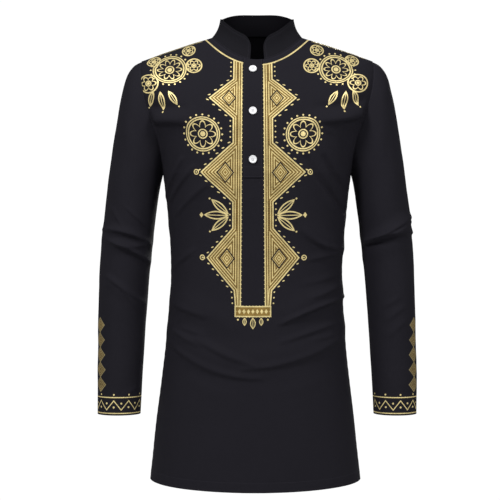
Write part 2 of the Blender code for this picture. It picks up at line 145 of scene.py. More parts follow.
foldForm = {
    "overrun": 0.2,  # how far past its ends a fold is still looked for, as a share of its length
    "reach": 3.0,  # how far to its sides, in widths
    "blunt": 0.08,  # how much of the half wave along a fold is cut from each end
}


def foldHeight(folds, a, b):  # a fold runs from one place to another, with its bow to the left of that way
    total = 0.0
    for fromA, fromB, toA, toB, bow, width, height, lean in folds:
        run, rise = toA - fromA, toB - fromB
        length = hypot(run, rise)
        t = ((a - fromA) * run + (b - fromB) * rise) / length**2
        if -foldForm["overrun"] < t < 1 + foldForm["overrun"]:
            inside = min(max(t, 0.0), 1.0)
            across = ((b - fromB) * run - (a - fromA) * rise) / length
            across -= bow * 4 * inside * (1 - inside)
            across /= width * (1 + lean if across > 0 else 1 - lean)
            if abs(across) < foldForm["reach"]:
                beyond = (t - inside) * length / width
                taper = sqrt(sin(pi * (foldForm["blunt"] + (1 - 2 * foldForm["blunt"]) * inside)))
                total += height * taper * exp(-(across**2) - beyond**2)
    return total


@lru_cache(maxsize=None)
def sleeveRing(along):
    return tuple(tableValue(sleeveRings, column, along) for column in range(1, 7))


def sleeveBase(along, angle):  # the sleeve at +X: angle 0 is its outer edge, a quarter turn its front
    outerX, outerZ, innerX, innerZ, midY, halfDepth = sleeveRing(along)
    middle = Vector((outerX + innerX, 0, outerZ + innerZ)) / 2
    radius = Vector((outerX - innerX, 0, outerZ - innerZ)) / 2
    point = middle + radius * cos(angle)
    point.y = midY - halfDepth * sin(angle)
    point.x += shirt["armholeBow"] * max(0.0, 1 - along / shirt["armholeBowReach"]) * sin(pi * cos(angle))
    return point


def ringShape(angle, fullness):
    swell = 1 + fullness * sin(2 * angle) ** 2
    return sin(angle) * swell, cos(angle) * swell


def solve(function, target, low, high):  # where a rising function reaches a target
    for _ in range(halvings):
        middle = (low + high) / 2
        low, high = (middle, high) if function(middle) < target else (low, middle)
    return (low + high) / 2


@lru_cache(maxsize=None)
def bodyRow(level, front):  # half width, depth, centre z, side z, fullness, last angle, middle x
    face = 1 if front else 3
    if level <= 1:
        z = shirt["hemZ"] + (shirt["underarmZ"] - shirt["hemZ"]) * max(level, 0.0)
        columns = (1, 2 if front else 3, 4, 5)
        halfWidth, depth, fullness, middleX = (tableValue(bodyRings, column, z) for column in columns)
        drop = shirt["hemDrop"] * max(0.0, 1 - level / shirt["hemDropReach"]) ** 2
        return halfWidth, depth, z - drop, z, fullness, quarter, middleX
    depth, centreZ, fullness = (tableValue(centreLines, c, level) for c in (face, face + 1, 5))
    tipX, tipZ = shirt["shoulderTip"]
    if level >= 2:
        share = min(level, 3.0) - 2
        halfWidth = tipX + (shirt["neckHalfWidth"] - tipX) * share
        sideZ = tipZ * (1 - share) + shirt["shoulderCrown"] * sin(pi * share)
        return halfWidth, depth, centreZ, sideZ, fullness, quarter, 0.0
    edge = sleeveBase(0.0, pi * (2 - level) * (1 if front else -1))
    edgeShare = min(abs(edge.y), depth) / depth
    end = quarter - solve(lambda a: ringShape(quarter - a, fullness)[1], edgeShare, 0, quarter)
    sideZ = centreZ + (edge.z - centreZ) / sin(end) ** 2
    return edge.x / ringShape(end, fullness)[0], depth, centreZ, sideZ, fullness, end, 0.0


def onRow(row, angle, front):
    halfWidth, depth, centreZ, sideZ, fullness, _, middleX = row
    across, outward = ringShape(angle, fullness)
    y = depth * outward
    z = centreZ + (sideZ - centreZ) * sin(angle) ** 2
    return Vector((middleX + halfWidth * across, -y if front else y, z))


def bodyNormal(level, angle, front):
    low, high = max(level - step, 0.0), min(level + step, 3.0)
    rising = onRow(bodyRow(high, front), angle, front) - onRow(bodyRow(low, front), angle, front)
    row = bodyRow(level, front)
    if abs(abs(angle) - quarter) < tiny:  # across a seam the ring runs straight towards the back
        along = Vector((0, 1 if angle > 0 else -1, 0))
    else:
        along = onRow(row, angle + step, front) - onRow(row, angle - step, front)
        along = along if front else -along
    return along.cross(rising).normalized()


def angleAt(row, x):  # where a ring passes a distance from the centre line
    return solve(lambda a: row[0] * ringShape(a, row[4])[0], x - row[6], -quarter, quarter)


def lastAngle(row):
    return row[5] - (shirt["seamGap"] / 2 / row[1] if row[5] == quarter else 0)


print("cut ready")

# folds in millimetres: from x, z, to x, z, bow, width, height, and the lean as a share
bigFrontFolds = [
    (-190, -166, -105, -162, 6, 20, 6, 0),
    (110, -158, 192, -150, -4, 20, 6, 0),
    (-152, -352, -80, -262, 4, 17, 5, 0),
    (78, -236, 150, -336, 2, 17, 3.6, 0),
    (75, -345, 156, -392, -8, 18, 5, 0),
    (158, -475, 60, -512, -6, 19, 5, 0),
    (-150, -490, -50, -535, 6, 19, 4, 0),
    (-158, -548, 30, -612, -18, 19, 4.2, 0),
    (-50, -580, 162, -540, -24, 19, 4.2, 0),
]
fineFrontFolds = [
    (-212, -157, -132, -167, 0, 8.8, 6.6, 0.4),
    (106, -166, 203, -142, -6, 8.8, 6.6, 0.4),
    (-207, -136, -135, -141, 0, 8.5, -4.6, 0),
    (110, -138, 198, -121, -6, 8.5, -4.6, 0),
    (-190, -175, -178, -235, 0, 10, -3.5, 0),
    (166, -174, 164, -237, 0, 11, -3.5, 0),
    (114, -173, 138, -187, 0, 4.2, 1.4, 0),
    (-167, -299, -137, -233, 2, 4.6, 4.9, 0.3),
    (-158, -306, -116, -248, 2, 4.6, 4.9, 0.3),
    (-143, -333, -95, -283, 2, 4.6, 4.1, 0.3),
    (-158, -385, -145, -347, 0, 5, 1.4, 0),
    (87, -232, 161, -328, -2, 4.8, -5.6, 0.3),
    (121, -230, 161, -289, -1, 4.8, -5, 0.3),
    (122, -300, 145, -331, 0, 5, 1.4, 0),
    (-150, -428, -116, -399, 0, 5, 3.5, 0.3),
    (-155, -498, -95, -519, -1, 6, 3.2, 0.3),
    (-139, -540, -100, -552, 0, 5, 1.8, 0.3),
    (-151, -548, -103, -572, -1, 5, 3, 0.3),
    (-109, -560, -10, -605, -4, 6.2, 4.5, 0.3),
    (-158, -571, 5, -630, -16, 6.2, 4.7, 0.3),
    (83, -364, 155, -397, -9, 5, 4.5, 0.3),
    (94, -417, 154, -404, 0, 5, 2.8, 0.3),
    (86, -460, 151, -442, -2, 6, 1.8, 0.3),
    (98, -486, 151, -464, -1, 5, 2.8, 0.3),
    (44, -532, 157, -486, 2, 4.4, 6.4, 0.3),
    (44, -565, 147, -531, 0, 5.2, 3.7, 0.3),
    (96, -563, 136, -555, 0, 4, 1.2, 0.3),
    (-22, -613, 151, -562, -11, 6, 4.5, 0.3),
    (-117, -633, -58, -661, -4, 11, 1.1, 0),
    (38, -657, 116, -633, -4, 11, 1, 0),
]
bigBackFolds = [
    (-150, -330, -60, -250, 6, 20, 5, 0),
    (150, -345, 55, -255, -6, 20, 5, 0),
    (-150, -440, 20, -480, -16, 21, 6.5, 0),
    (-40, -425, 152, -455, -14, 21, 6, 0),
    (-155, -520, 120, -545, -26, 22, 6, 0),
]
fineBackFolds = [
    (-160, -300, -112, -232, 3, 5, 3.2, 0.3),
    (-158, -342, -72, -262, 5, 5, 3, 0.3),
    (110, -226, 160, -296, 3, 5, 3.2, -0.2),
    (66, -266, 156, -356, 5, 5, 3, -0.2),
    (-205, -160, -120, -172, -4, 9, 4, 0.3),
    (112, -168, 200, -150, -4, 9, 4, 0.3),
    (-152, -452, 6, -492, -14, 6, 3.4, 0.3),
    (-52, -470, 150, -440, -12, 6, 3.4, 0.3),
    (-158, -482, -64, -520, -6, 6, 2.6, 0.3),
    (-150, -534, 110, -560, -24, 6.2, 3.4, 0.3),
    (30, -590, 150, -560, -10, 6.2, 2.6, 0.3),
    (-140, -610, -20, -640, -10, 8, 1.8, 0.3),
    (-90, -150, -10, -166, -6, 14, 1.2, 0),
]
# the sleeves' folds are given for a sleeve at +X
leftSleeveFrontFolds = [
    (200, -380, 286, -360, 2, 11, 5.5, 0),
    (206, -405, 284, -386, 2, 11, 1.5, 0),
    (228, -370, 288, -331, 2, 10, 3.5, 0),
    (203, -384, 288, -367, 5, 4.2, 4.6, 0.35),
    (203, -392, 286, -376, 6, 4.5, -3, 0),
    (206, -385, 288, -336, -1, 4.2, 4.4, 0.3),
    (252, -369, 288, -345, 0, 4, 4, 0.3),
    (236, -503, 262, -487, 0, 4.5, 1.8, 0.3),
    (240, -527, 270, -505, 0, 4.5, 2, 0.3),
    (240, -560, 274, -530, 0, 4.8, 1.8, 0.3),
    (226, -215, 238, -140, 4, 12, 1.4, 0),
]
leftSleeveBackFolds = [
    (202, -372, 282, -338, -4, 13, 5, 0),
    (206, -412, 286, -382, -4, 12, 4.5, 0),
    (204, -356, 280, -324, -4, 4.6, 3, 0.3),
    (206, -388, 284, -356, -5, 4.6, -2, 0),
    (206, -396, 284, -366, -5, 4.6, 3.4, 0.3),
    (216, -440, 286, -412, -3, 5, 2.2, 0.3),
    (232, -520, 268, -500, 0, 5, 1.8, 0.3),
    (222, -230, 240, -150, -4, 12, 1.4, 0),
]
rightSleeveFrontFolds = [
    (206, -381, 282, -361, 6, 10, 4.5, 0),
    (204, -415, 282, -378, 5, 10, 5, 0),
    (217, -500, 286, -452, 3, 12, 2.8, 0),
    (206, -383, 284, -361, 6, 4.2, 4.2, 0.3),
    (202, -388, 262, -390, -3, 4.2, 3.2, 0.3),
    (202, -424, 276, -381, 5, 4.2, 4.8, 0.3),
    (250, -353, 272, -318, 0, 4.2, 1.6, 0.3),
    (203, -357, 241, -321, 0, 4.2, 1.8, 0.3),
    (213, -498, 276, -448, 1, 4.6, 3.6, 0.3),
    (219, -510, 248, -472, 0, 4.6, 2, 0.3),
    (224, -653, 246, -668, 0, 4.2, 1.2, 0),
    (230, -220, 242, -140, -4, 12, 1.4, 0),
]
rightSleeveBackFolds = [
    (204, -380, 282, -346, -4, 13, 5, 0),
    (206, -420, 284, -392, -4, 12, 4.5, 0),
    (206, -366, 282, -332, -4, 4.6, 3, 0.3),
    (206, -398, 284, -366, -5, 4.6, -2, 0),
    (206, -408, 284, -376, -5, 4.6, 3.4, 0.3),
    (220, -462, 286, -430, -3, 5, 2.2, 0.3),
    (236, -544, 276, -512, 0, 5, 1.8, 0.3),
    (224, -225, 242, -145, 4, 12, 1.4, 0),
]


def inMetres(folds):
    return [tuple(value / 1000 for value in fold[:-1]) + fold[-1:] for fold in folds]


bodyFolds = {  # by whether it is the front
    True: (inMetres(bigFrontFolds), inMetres(fineFrontFolds)),
    False: (inMetres(bigBackFolds), inMetres(fineBackFolds)),
}
sleeveFolds = {  # the face in front, then the one behind
    "sleeve_left": (inMetres(leftSleeveFrontFolds), inMetres(leftSleeveBackFolds)),
    "sleeve_right": (inMetres(rightSleeveFrontFolds), inMetres(rightSleeveBackFolds)),
}
drape = {"wideSize": 0.07, "wideLift": 0.001, "smallSize": 0.022, "smallLift": 0.00022}


def unevenness(point):  # the soft, random waviness of worn cloth
    wide = noise.noise(point / drape["wideSize"]) * drape["wideLift"]
    return wide + noise.noise(point / drape["smallSize"] + Vector((7, 3, 5))) * drape["smallLift"]


def addMesh(name, bm, materials):
    mesh = bpy.data.meshes.new(name)
    bm.to_mesh(mesh)
    bm.free()
    mesh.shade_smooth()
    for material in materials:
        mesh.materials.append(material)
    obj = bpy.data.objects.new(name, mesh)
    bpy.context.scene.collection.objects.link(obj)
    return obj


def settled(obj):  # the mesh that an object's modifiers give
    return bpy.data.meshes.new_from_object(obj.evaluated_get(bpy.context.evaluated_depsgraph_get()))


def shell(name, panel, materials, thickness, closed=False, isHole=None, edgeRound=None):
    places, normals = panel["places"], panel["normals"]
    rows, columns = places.shape[0] - 1, places.shape[1] - 1
    bm = bmesh.new()
    bmesh.ops.create_grid(bm, x_segments=columns, y_segments=rows, size=0.5)
    where = {v: (round((v.co.y + 0.5) * rows), round((v.co.x + 0.5) * columns)) for v in bm.verts}
    if isHole:
        lowest = {f: tuple(min(where[v][axis] for v in f.verts) for axis in (0, 1)) for f in bm.faces}
        bmesh.ops.delete(bm, geom=[f for f in lowest if isHole(*lowest[f])], context="FACES")
    for mapName, pairs in panel["maps"].items():
        layer = bm.loops.layers.uv.new(mapName)
        for f in bm.faces:
            for loop in f.loops:
                loop[layer].uv = pairs[where[loop.vert]]
    for v in bm.verts:
        v.co = Vector(places[where[v]])
    bm.normal_update()
    facing = sum(f.normal.dot(Vector(normals[where[f.verts[0]]])) for f in bm.faces)
    if facing < 0:
        bmesh.ops.reverse_faces(bm, faces=bm.faces)
    if closed:
        ends = {r: {} for r in range(rows + 1)}
        for v, (r, c) in where.items():
            if c in (0, columns):
                ends[r][c] = v
        bmesh.ops.weld_verts(bm, targetmap={pair[columns]: pair[0] for pair in ends.values()})
    obj = addMesh(name + "_cloth", bm, materials)
    wall = obj.modifiers.new("wall", "SOLIDIFY")
    wall.thickness = thickness
    wall.offset = -1
    wall.material_offset = 1
    wall.material_offset_rim = 1
    if edgeRound:
        rounding = obj.modifiers.new("rounding", "BEVEL")
        rounding.width = edgeRound
        rounding.segments = 3
        rounding.limit_method = "ANGLE"
        rounding.angle_limit = radians(shirt["sharpAngle"])
    whole = settled(obj)
    obj.modifiers.clear()
    obj.data = whole
    if not edgeRound:
        whole.set_sharp_from_angle(angle=radians(shirt["sharpAngle"]))
    return obj


def flatMap(base, normals, levels, front):
    # lays a body panel out flat: the way across from its middle column, and the height above its hem
    # above the underarm, the way up turns towards the back, as the cloth does over the shoulders
    backward = np.array([[0, smooth(*shirt["shoulderTurn"], level), 1] for level in levels])[:, None, :]
    if not front:
        backward = backward * np.array([1, -1, 1])
    upward = backward - (backward * normals).sum(2, keepdims=True) * normals
    upward /= np.linalg.norm(upward, axis=2, keepdims=True)
    across = np.cross(upward, normals)
    stepsAcross = (np.diff(base, axis=1) * (across[:, 1:] + across[:, :-1]) / 2).sum(2)
    stepsUp = (np.diff(base, axis=0) * (upward[1:] + upward[:-1]) / 2).sum(2)
    u = np.pad(np.cumsum(stepsAcross, axis=1), ((0, 0), (1, 0)))
    v = np.pad(np.cumsum(stepsUp, axis=0), ((1, 0), (0, 0)))
    return u - u[:, base.shape[1] // 2, None], v


def gridOf(lines):  # lines of places, each a point of the plain form, its normal and its lift
    lines = [list(line) for line in lines]
    base, normals = (np.array([[place[part] for place in line] for line in lines]) for part in (0, 1))
    lifts = np.array([[place[2] for place in line] for line in lines])
    return base, normals, base + normals * lifts[..., None]


def panelOf(grids, u, v, *edges):  # its points, and its UV maps: the place laid flat, and how near edges are
    base, normals, places = grids
    maps = {"panel": np.stack((u, v), 2), "edges": np.stack(edges, 2)}
    return {"base": base, "normals": normals, "places": places, "maps": maps, "u": u, "v": v}


def runAlong(base, axis):  # how far each place is along its own column (axis 0) or row (axis 1)
    steps = np.linalg.norm(np.diff(base, axis=axis), axis=2)
    return np.pad(np.cumsum(steps, axis=axis), ((1, 0), (0, 0)) if axis == 0 else ((0, 0), (1, 0)))


def runBelow(base):  # how far each place is along its own column from the last row
    return runAlong(base[::-1], 0)[::-1]


body = {
    "skirtRows": 44,
    "foldStart": 0.26,  # the level at which the closer rows of the folds begin
    "foldRows": 190,
    "armholeRows": 70,
    "yokeRows": 24,
    "sideColumns": 66,  # on each side of the slot
    "closerColumns": 0.62,  # columns are closer together round this share of the way to the side
    "columnSpread": 0.42,
    "slotColumns": 3,  # on each side of the middle
    "seamRoll": 0.0005,  # how far an edge rolls in at its seam
    "seamRollWidth": 0.0045,
    "pucker": 0.00035,
    "puckerPitch": 0.017,
    "puckerShift": 4.0,  # turns the puckers' phase from front to back, for each metre
    "puckerReach": 0.012,
    "puckerStart": 0.004,
}
placket = {
    "middleX": -0.008,
    "slotHalfWidth": 0.014,
    "bandHalfWidth": 0.0175,
    "bandEndZ": -0.268,
    "bandTopTrim": 0.012,
    "bandThickness": 0.0012,
    "bandColumns": 12,
    "openingBelow": 0.0003,  # clear space between a band and the front
    "smoothWithin": (0.019, 0.045),  # the front's folds begin this far from the middle, and are full here
    "smoothFrom": 0.9,  # above this level
}
bodyLevels = [body["foldStart"] * i / body["skirtRows"] for i in range(body["skirtRows"])]
bodyLevels += [1 + (body["foldStart"] - 1) * (1 - i / body["foldRows"]) for i in range(body["foldRows"])]
firstArmholeRow = len(bodyLevels)
bodyLevels += [1 + i / body["armholeRows"] for i in range(body["armholeRows"])]
bodyLevels += [2 + i / body["yokeRows"] for i in range(body["yokeRows"] + 1)]


def bodyLift(level, angle, front, base):  # every fold and wave at one place, as a height along the normal
    row = bodyRow(level, front)
    toSeam = max((row[5] - abs(angle)) * row[0], 0.0)
    belowNeck = 3.0 - level
    free = min(1.0, toSeam / shirt["foldFade"]) * min(1.0, belowNeck / shirt["neckFade"])
    bigFolds, fineFolds = bodyFolds[front]
    big = foldHeight(bigFolds, base.x, base.z) * free
    fine = foldHeight(fineFolds, base.x, base.z) + unevenness(base)
    beside = front and level > placket["smoothFrom"]
    clear = smooth(*placket["smoothWithin"], abs(base.x - placket["middleX"])) if beside else 1.0
    phase = base.z * 2 * pi / body["puckerPitch"] + body["puckerShift"] * base.y
    ripple = body["pucker"] * sin(phase) * exp(-toSeam / body["puckerReach"])
    roll = body["seamRoll"] * exp(-((toSeam / body["seamRollWidth"]) ** 2))
    roll *= min(1.0, belowNeck / shirt["neckRollFade"])
    return big + (fine * free + ripple * min(1.0, toSeam / body["puckerStart"]) - roll) * clear


def bodyPanel(front):
    sides, middle = body["sideColumns"], range(-body["slotColumns"], body["slotColumns"] + 1)
    shares = [crowded((k + 1) / sides, body["closerColumns"], body["columnSpread"]) for k in range(sides)]
    slot = placket["slotHalfWidth"] / body["slotColumns"]

    def rowAt(level):
        row = bodyRow(level, front)
        end = lastAngle(row)
        if front:
            angles = [angleAt(row, placket["middleX"] + k * slot) for k in middle]
        else:
            angles = [end * k / (sides + body["slotColumns"]) for k in middle]
        left = [angles[0] + (-end - angles[0]) * share for share in reversed(shares)]
        right = [angles[-1] + (end - angles[-1]) * share for share in shares]
        for angle in left + angles + right:
            point = onRow(row, angle, front)
            yield point, bodyNormal(level, angle, front), bodyLift(level, angle, front, point)

    base, normals, places = gridOf(rowAt(level) for level in bodyLevels)
    fromSide = runAlong(base, 1)
    seam = np.minimum(fromSide, fromSide[:, -1:] - fromSide)
    flat = flatMap(base, normals, bodyLevels, front)
    return panelOf((base, normals, places), *flat, runBelow(base), seam)


def inSlot(r, c):
    return body["sideColumns"] <= c < body["sideColumns"] + 2 * body["slotColumns"] and r >= firstArmholeRow


sleeve = {
    "length": 0.64,
    "rows": 260,
    "columns": 112,
    "edgeFade": 0.35,  # folds die out this near the inner and outer edges, as the sine of the way round
    "armholeFade": 0.1,  # and over this share of the sleeve below the armhole
    "innerSeam": 3.0,  # the angle past which the waviness dies out towards the inner edge
    "waviness": 1.3,  # how much closer the waves are than the body's
    "puckers": 17,  # round the armhole
    "armholeGap": 0.00005,
    "startSpread": 1.15,  # rows are closer together at the armhole
    "elbowSpread": 0.4,  # and round the elbow
    "elbow": 0.45,
    "seamRoll": 0.0006,
    "seamRollWidth": 0.005,
    "seamRollStart": 0.002,
}


def sleeveNormal(along, angle):
    down = sleeveBase(min(along + step, 1.0), angle) - sleeveBase(max(along - step, 0.0), angle)
    around = sleeveBase(along, angle + step) - sleeveBase(along, angle - step)
    return around.cross(down).normalized()


def sleeveSeam(angle):  # square to the sleeve where the crease with the body is a valley, else to the body
    level = 2 - abs(angle) / pi
    front = angle >= 0
    end = bodyRow(level, front)[5]
    outward = bodyNormal(level, end, front)
    around = sleeveBase(0.0, angle + step) - sleeveBase(0.0, angle - step)
    across = outward.cross(around).normalized()
    valley = (sleeveBase(step, angle) - sleeveBase(0.0, angle)).dot(outward) > 0
    rolled = bodyLift(level, end, front, sleeveBase(0.0, angle))
    return across * sleeve["armholeGap"] + outward * rolled, sleeveNormal(0.0, angle) if valley else outward


def sleevePanel(name, side):
    rows, columns = sleeve["rows"], sleeve["columns"]

    def rowAt(r):
        along = crowded((r / rows) ** sleeve["startSpread"], sleeve["elbow"], sleeve["elbowSpread"])
        free = min(1.0, along / sleeve["armholeFade"])
        down = along * sleeve["length"]
        roll = sleeve["seamRoll"] * exp(-((down / sleeve["seamRollWidth"]) ** 2))
        roll *= min(1.0, down / sleeve["seamRollStart"])
        pucker = body["pucker"] * exp(-down / body["puckerReach"]) * min(1.0, down / body["puckerStart"])
        for c in range(columns + 1):
            angle = pi * (2 * c / columns - 1)
            point = sleeveBase(along, angle)
            if r == 0:
                clear, normal = sleeveSeam(angle)
                yield point + clear, normal, 0.0
                continue
            lift = foldHeight(sleeveFolds[name][0 if angle > 0 else 1], point.x, point.z)
            lift *= free * min(1.0, abs(sin(angle)) / sleeve["edgeFade"])
            seamless = min(1.0, (pi - abs(angle)) / (pi - sleeve["innerSeam"]))
            lift += unevenness(point * sleeve["waviness"] + Vector((0, 0, side))) * free * seamless
            yield point, sleeveNormal(along, angle), lift + pucker * sin(angle * sleeve["puckers"]) - roll

    grids = [grid * (side, 1, 1) for grid in gridOf(rowAt(r) for r in range(rows + 1))]
    across = runAlong(grids[0], 1)
    across -= across[:, columns // 2, None]
    wayRound = np.tile(np.arange(columns + 1) / columns - 0.5, (rows + 1, 1))
    return panelOf(grids, across, runBelow(grids[0]), wayRound, runAlong(grids[0], 0))


collar = {
    "gapHalfWidth": 0.013,
    "topHalfWidth": 0.069,
    "topFront": (0.059, -0.006),
    "topBack": (0.056, 0.051),
    "topSideZ": 0.035,
    "cornerRadius": 0.021,
    "cornerColumns": 12,
    "columns": 44,  # for each quarter turn
    "rows": 16,
    "thickness": 0.0024,
    "hollow": 0.0032,
    "seamOverlap": 0.0006,  # how far it reaches over the neck edge, as a sewn seam does
    "edgeRound": 0.0007,
    "waveSize": 0.03,
    "waveLift": 0.0006,
}


def neckPoint(angle):
    front = abs(angle) <= quarter
    turnedAngle = angle if front else (pi - abs(angle)) * (1 if angle > 0 else -1)
    return onRow(bodyRow(3.0, front), turnedAngle, front)


def collarTop(angle):
    front = abs(angle) <= quarter
    depth, z = collar["topFront"] if front else collar["topBack"]
    share = cos(angle) ** 2 if front else 1 - sin(angle) ** 4
    sideZ = collar["topSideZ"]
    return Vector((collar["topHalfWidth"] * sin(angle), -depth * cos(angle), sideZ + (z - sideZ) * share))


def collarPanel():
    start = angleAt(bodyRow(3.0, True), collar["gapHalfWidth"])
    radius = collar["cornerRadius"]
    corner = [start + radius * (1 - cos(quarter * k / collar["cornerColumns"])) / shirt["neckHalfWidth"]
              for k in range(collar["cornerColumns"])]
    last = start + radius / shirt["neckHalfWidth"]
    sideways = [last + (quarter - last) * k / collar["columns"] for k in range(collar["columns"])]
    behind = [quarter * (1 + k / collar["columns"]) for k in range(collar["columns"] + 1)]
    halfAngles = corner + sideways + behind
    angles = halfAngles + [2 * pi - a for a in reversed(halfAngles[:-1])]

    def columnAt(turnedAngle):
        angle = turnedAngle if turnedAngle <= pi else turnedAngle - 2 * pi
        low, high = neckPoint(angle), collarTop(angle)
        rise = (high - low).normalized()
        around = neckPoint(angle + step) - neckPoint(angle - step)
        if abs(abs(angle) - pi) < step:
            around = Vector((-1, 0, 0))
        outward = around.cross(rise).normalized()
        edge = max(abs(angle) - start, 0.0) * shirt["neckHalfWidth"]
        drop = radius - sqrt(radius**2 - (radius - edge) ** 2) if edge < radius else 0.0
        full = 1 - drop / (high - low).length
        for r in range(collar["rows"] + 1):
            share = r / collar["rows"] * full
            point = low.lerp(high, share) - rise * collar["seamOverlap"] * (1 - share)
            wave = noise.noise(point / collar["waveSize"]) * collar["waveLift"]
            yield point, outward, (wave - collar["hollow"]) * sin(pi * share)

    grids = [grid.swapaxes(0, 1) for grid in gridOf(columnAt(angle) for angle in angles)]
    around = runAlong(grids[0], 1)[0]
    around = np.tile(around - around.mean(), (collar["rows"] + 1, 1))
    return panelOf(grids, around, runAlong(grids[0], 0), runBelow(grids[0]), around[0].max() - abs(around))


def bandPanel(outFace):  # a placket band, its face this far outside the front's
    low = (placket["bandEndZ"] - shirt["hemZ"]) / (shirt["underarmZ"] - shirt["hemZ"])
    levels = [low] + [level for level in bodyLevels if level >= 1]
    levels[-1] -= placket["bandTopTrim"]
    count = placket["bandColumns"]
    offsets = [placket["bandHalfWidth"] * (2 * k / count - 1) for k in range(count + 1)]

    def rowAt(level):
        row = bodyRow(level, True)
        for across in offsets:
            angle = angleAt(row, placket["middleX"] + across)
            point = onRow(row, angle, True)
            yield point, bodyNormal(level, angle, True), bodyLift(level, angle, True, point) + outFace

    grids = gridOf(rowAt(level) for level in levels)
    across = np.tile(offsets, (len(levels), 1))
    upward = runAlong(grids[0], 0)
    return panelOf(grids, across, upward, placket["bandHalfWidth"] - abs(across), upward)


button = {
    "radius": 0.0072,
    "thickness": 0.003,
    "heights": (-0.069, -0.1475, -0.2352),
    "seat": 0.0018,  # how far its back is from the front's face
    "rim": 0.0011,
    "dish": 0.0008,
    "holeRadius": 0.00075,
    "holeOffset": 0.00135,
    "threadRadius": 0.00033,
    "turns": 48,
    "profile": (  # across: share of the radius, less rims; up: share of the thickness, less dishes
        (0, 0, 0, 0), (0.72, 0, 0, 0), (0.9, 0, 0.16, 0), (1, 0, 0.42, 0), (0.995, 0, 0.62, 0),
        (0.97, 0, 0.8, 0), (1, 0.45, 0.96, 0), (1, 0.8, 1, 0), (1, 1.2, 0.97, 0), (1, 1.7, 1, 0.6),
        (0.52, 0, 1, 1), (0, 0, 1, 1),
    ),
    "threadPath": (  # share of the hole's offset, share of the thickness
        (-1, 0.2), (-1, 0.72), (-0.6, 0.86), (0, 0.9), (0.6, 0.86), (1, 0.72), (1, 0.2),
    ),
    "sharpAngle": 35,
    "holeSides": 16,
    "threadSides": 10,
}


def buttonPiece(name, z, materials):
    level = solve(lambda s: bodyRow(1 + s, True)[2], z, 0.0, 2.0) + 1
    angle = angleAt(bodyRow(level, True), placket["middleX"])
    normal = bodyNormal(level, angle, True)
    base = onRow(bodyRow(level, True), angle, True)
    foot = base + normal * (bodyLift(level, angle, True, base) + button["seat"])
    r, h, rim, dish = button["radius"], button["thickness"], button["rim"], button["dish"]
    bm = bmesh.new()
    points = [bm.verts.new((r * a - rim * b, 0, h * c - dish * d)) for a, b, c, d in button["profile"]]
    edges = [bm.edges.new(pair) for pair in zip(points, points[1:])]
    bmesh.ops.spin(bm, geom=points + edges, axis=up, cent=(0, 0, 0), steps=button["turns"],
                   angle=2 * pi, use_merge=True)
    bmesh.ops.remove_doubles(bm, verts=bm.verts, dist=tiny)
    bmesh.ops.recalc_face_normals(bm, faces=bm.faces)
    disc = addMesh(name + "_shape", bm, [])
    cutters = bmesh.new()
    offset, holeRadius = button["holeOffset"], button["holeRadius"]
    for sideA, sideB in ((-1, -1), (-1, 1), (1, -1), (1, 1)):
        place = Matrix.Translation((sideA * offset, sideB * offset, h / 2))
        bmesh.ops.create_cone(cutters, cap_ends=True, segments=button["holeSides"], radius1=holeRadius,
                              radius2=holeRadius, depth=2 * h, matrix=place)
    holes = addMesh(name + "_holes", cutters, [])
    cut = disc.modifiers.new("holes", "BOOLEAN")
    cut.object = holes
    cut.solver = "EXACT"
    bm = bmesh.new()
    bm.from_mesh(settled(disc))
    for helper in (disc, holes):
        bpy.data.objects.remove(helper)
    discFaces = len(bm.faces)
    for side in (-1, 1):  # a thread lies over each pair of holes and goes down into them
        rings = []
        for across, height in button["threadPath"]:
            made = bmesh.ops.create_circle(bm, segments=button["threadSides"], radius=button["threadRadius"])
            tilt = Matrix.Rotation(quarter, 4, "Y") if abs(across) < 1 else Matrix.Identity(4)
            place = Matrix.Translation((across * offset, side * offset, height * h)) @ tilt
            bmesh.ops.transform(bm, matrix=place, verts=made["verts"])
            rings.append([e for e in bm.edges if e.verts[0] in made["verts"] and e.verts[1] in made["verts"]])
        for first, second in zip(rings, rings[1:]):
            bmesh.ops.bridge_loops(bm, edges=first + second)
    bm.faces.ensure_lookup_table()
    for f in bm.faces[discFaces:]:
        f.material_index = 1
    bmesh.ops.holes_fill(bm, edges=bm.edges, sides=button["threadSides"])
    bmesh.ops.recalc_face_normals(bm, faces=bm.faces)
    turn = up.rotation_difference(normal).to_matrix().to_4x4()
    bmesh.ops.transform(bm, matrix=Matrix.Translation(foot) @ turn, verts=bm.verts)
    obj = addMesh(name + "_shape", bm, materials)
    obj.data.set_sharp_from_angle(angle=radians(button["sharpAngle"]))
    return obj


class Wire:  # one socket of a material, so that its maths can be written as expressions
    def __init__(self, socket):
        self.socket = socket

    def maths(self, operation, *others, **settings):
        values = dict(enumerate((self,) + others))
        return node(self.socket.id_data, "Math", {"operation": operation, **settings}, values)

    def __add__(self, other):
        return self.maths("ADD", other)

    def __sub__(self, other):
        return self.maths("SUBTRACT", other)

    def __rsub__(self, other):
        return node(self.socket.id_data, "Math", {"operation": "SUBTRACT"}, {0: other, 1: self})

    def __mul__(self, other):
        return self.maths("MULTIPLY", other)

    def __truediv__(self, other):
        return self.maths("DIVIDE", other)

    def __neg__(self):
        return self.maths("MULTIPLY", -1.0)

    def __abs__(self):
        return self.maths("ABSOLUTE")

    __radd__, __rmul__ = __add__, __mul__

    def least(self, other):
        return self.maths("MINIMUM", other)

    def most(self, other):
        return self.maths("MAXIMUM", other)

    def toNearest(self, pitch):  # distance to the nearest whole number of pitches
        return self.maths("PINGPONG", pitch / 2)

    def upToOne(self):  # kept between 0 and 1
        return self.maths("MINIMUM", 1.0, use_clamp=True)


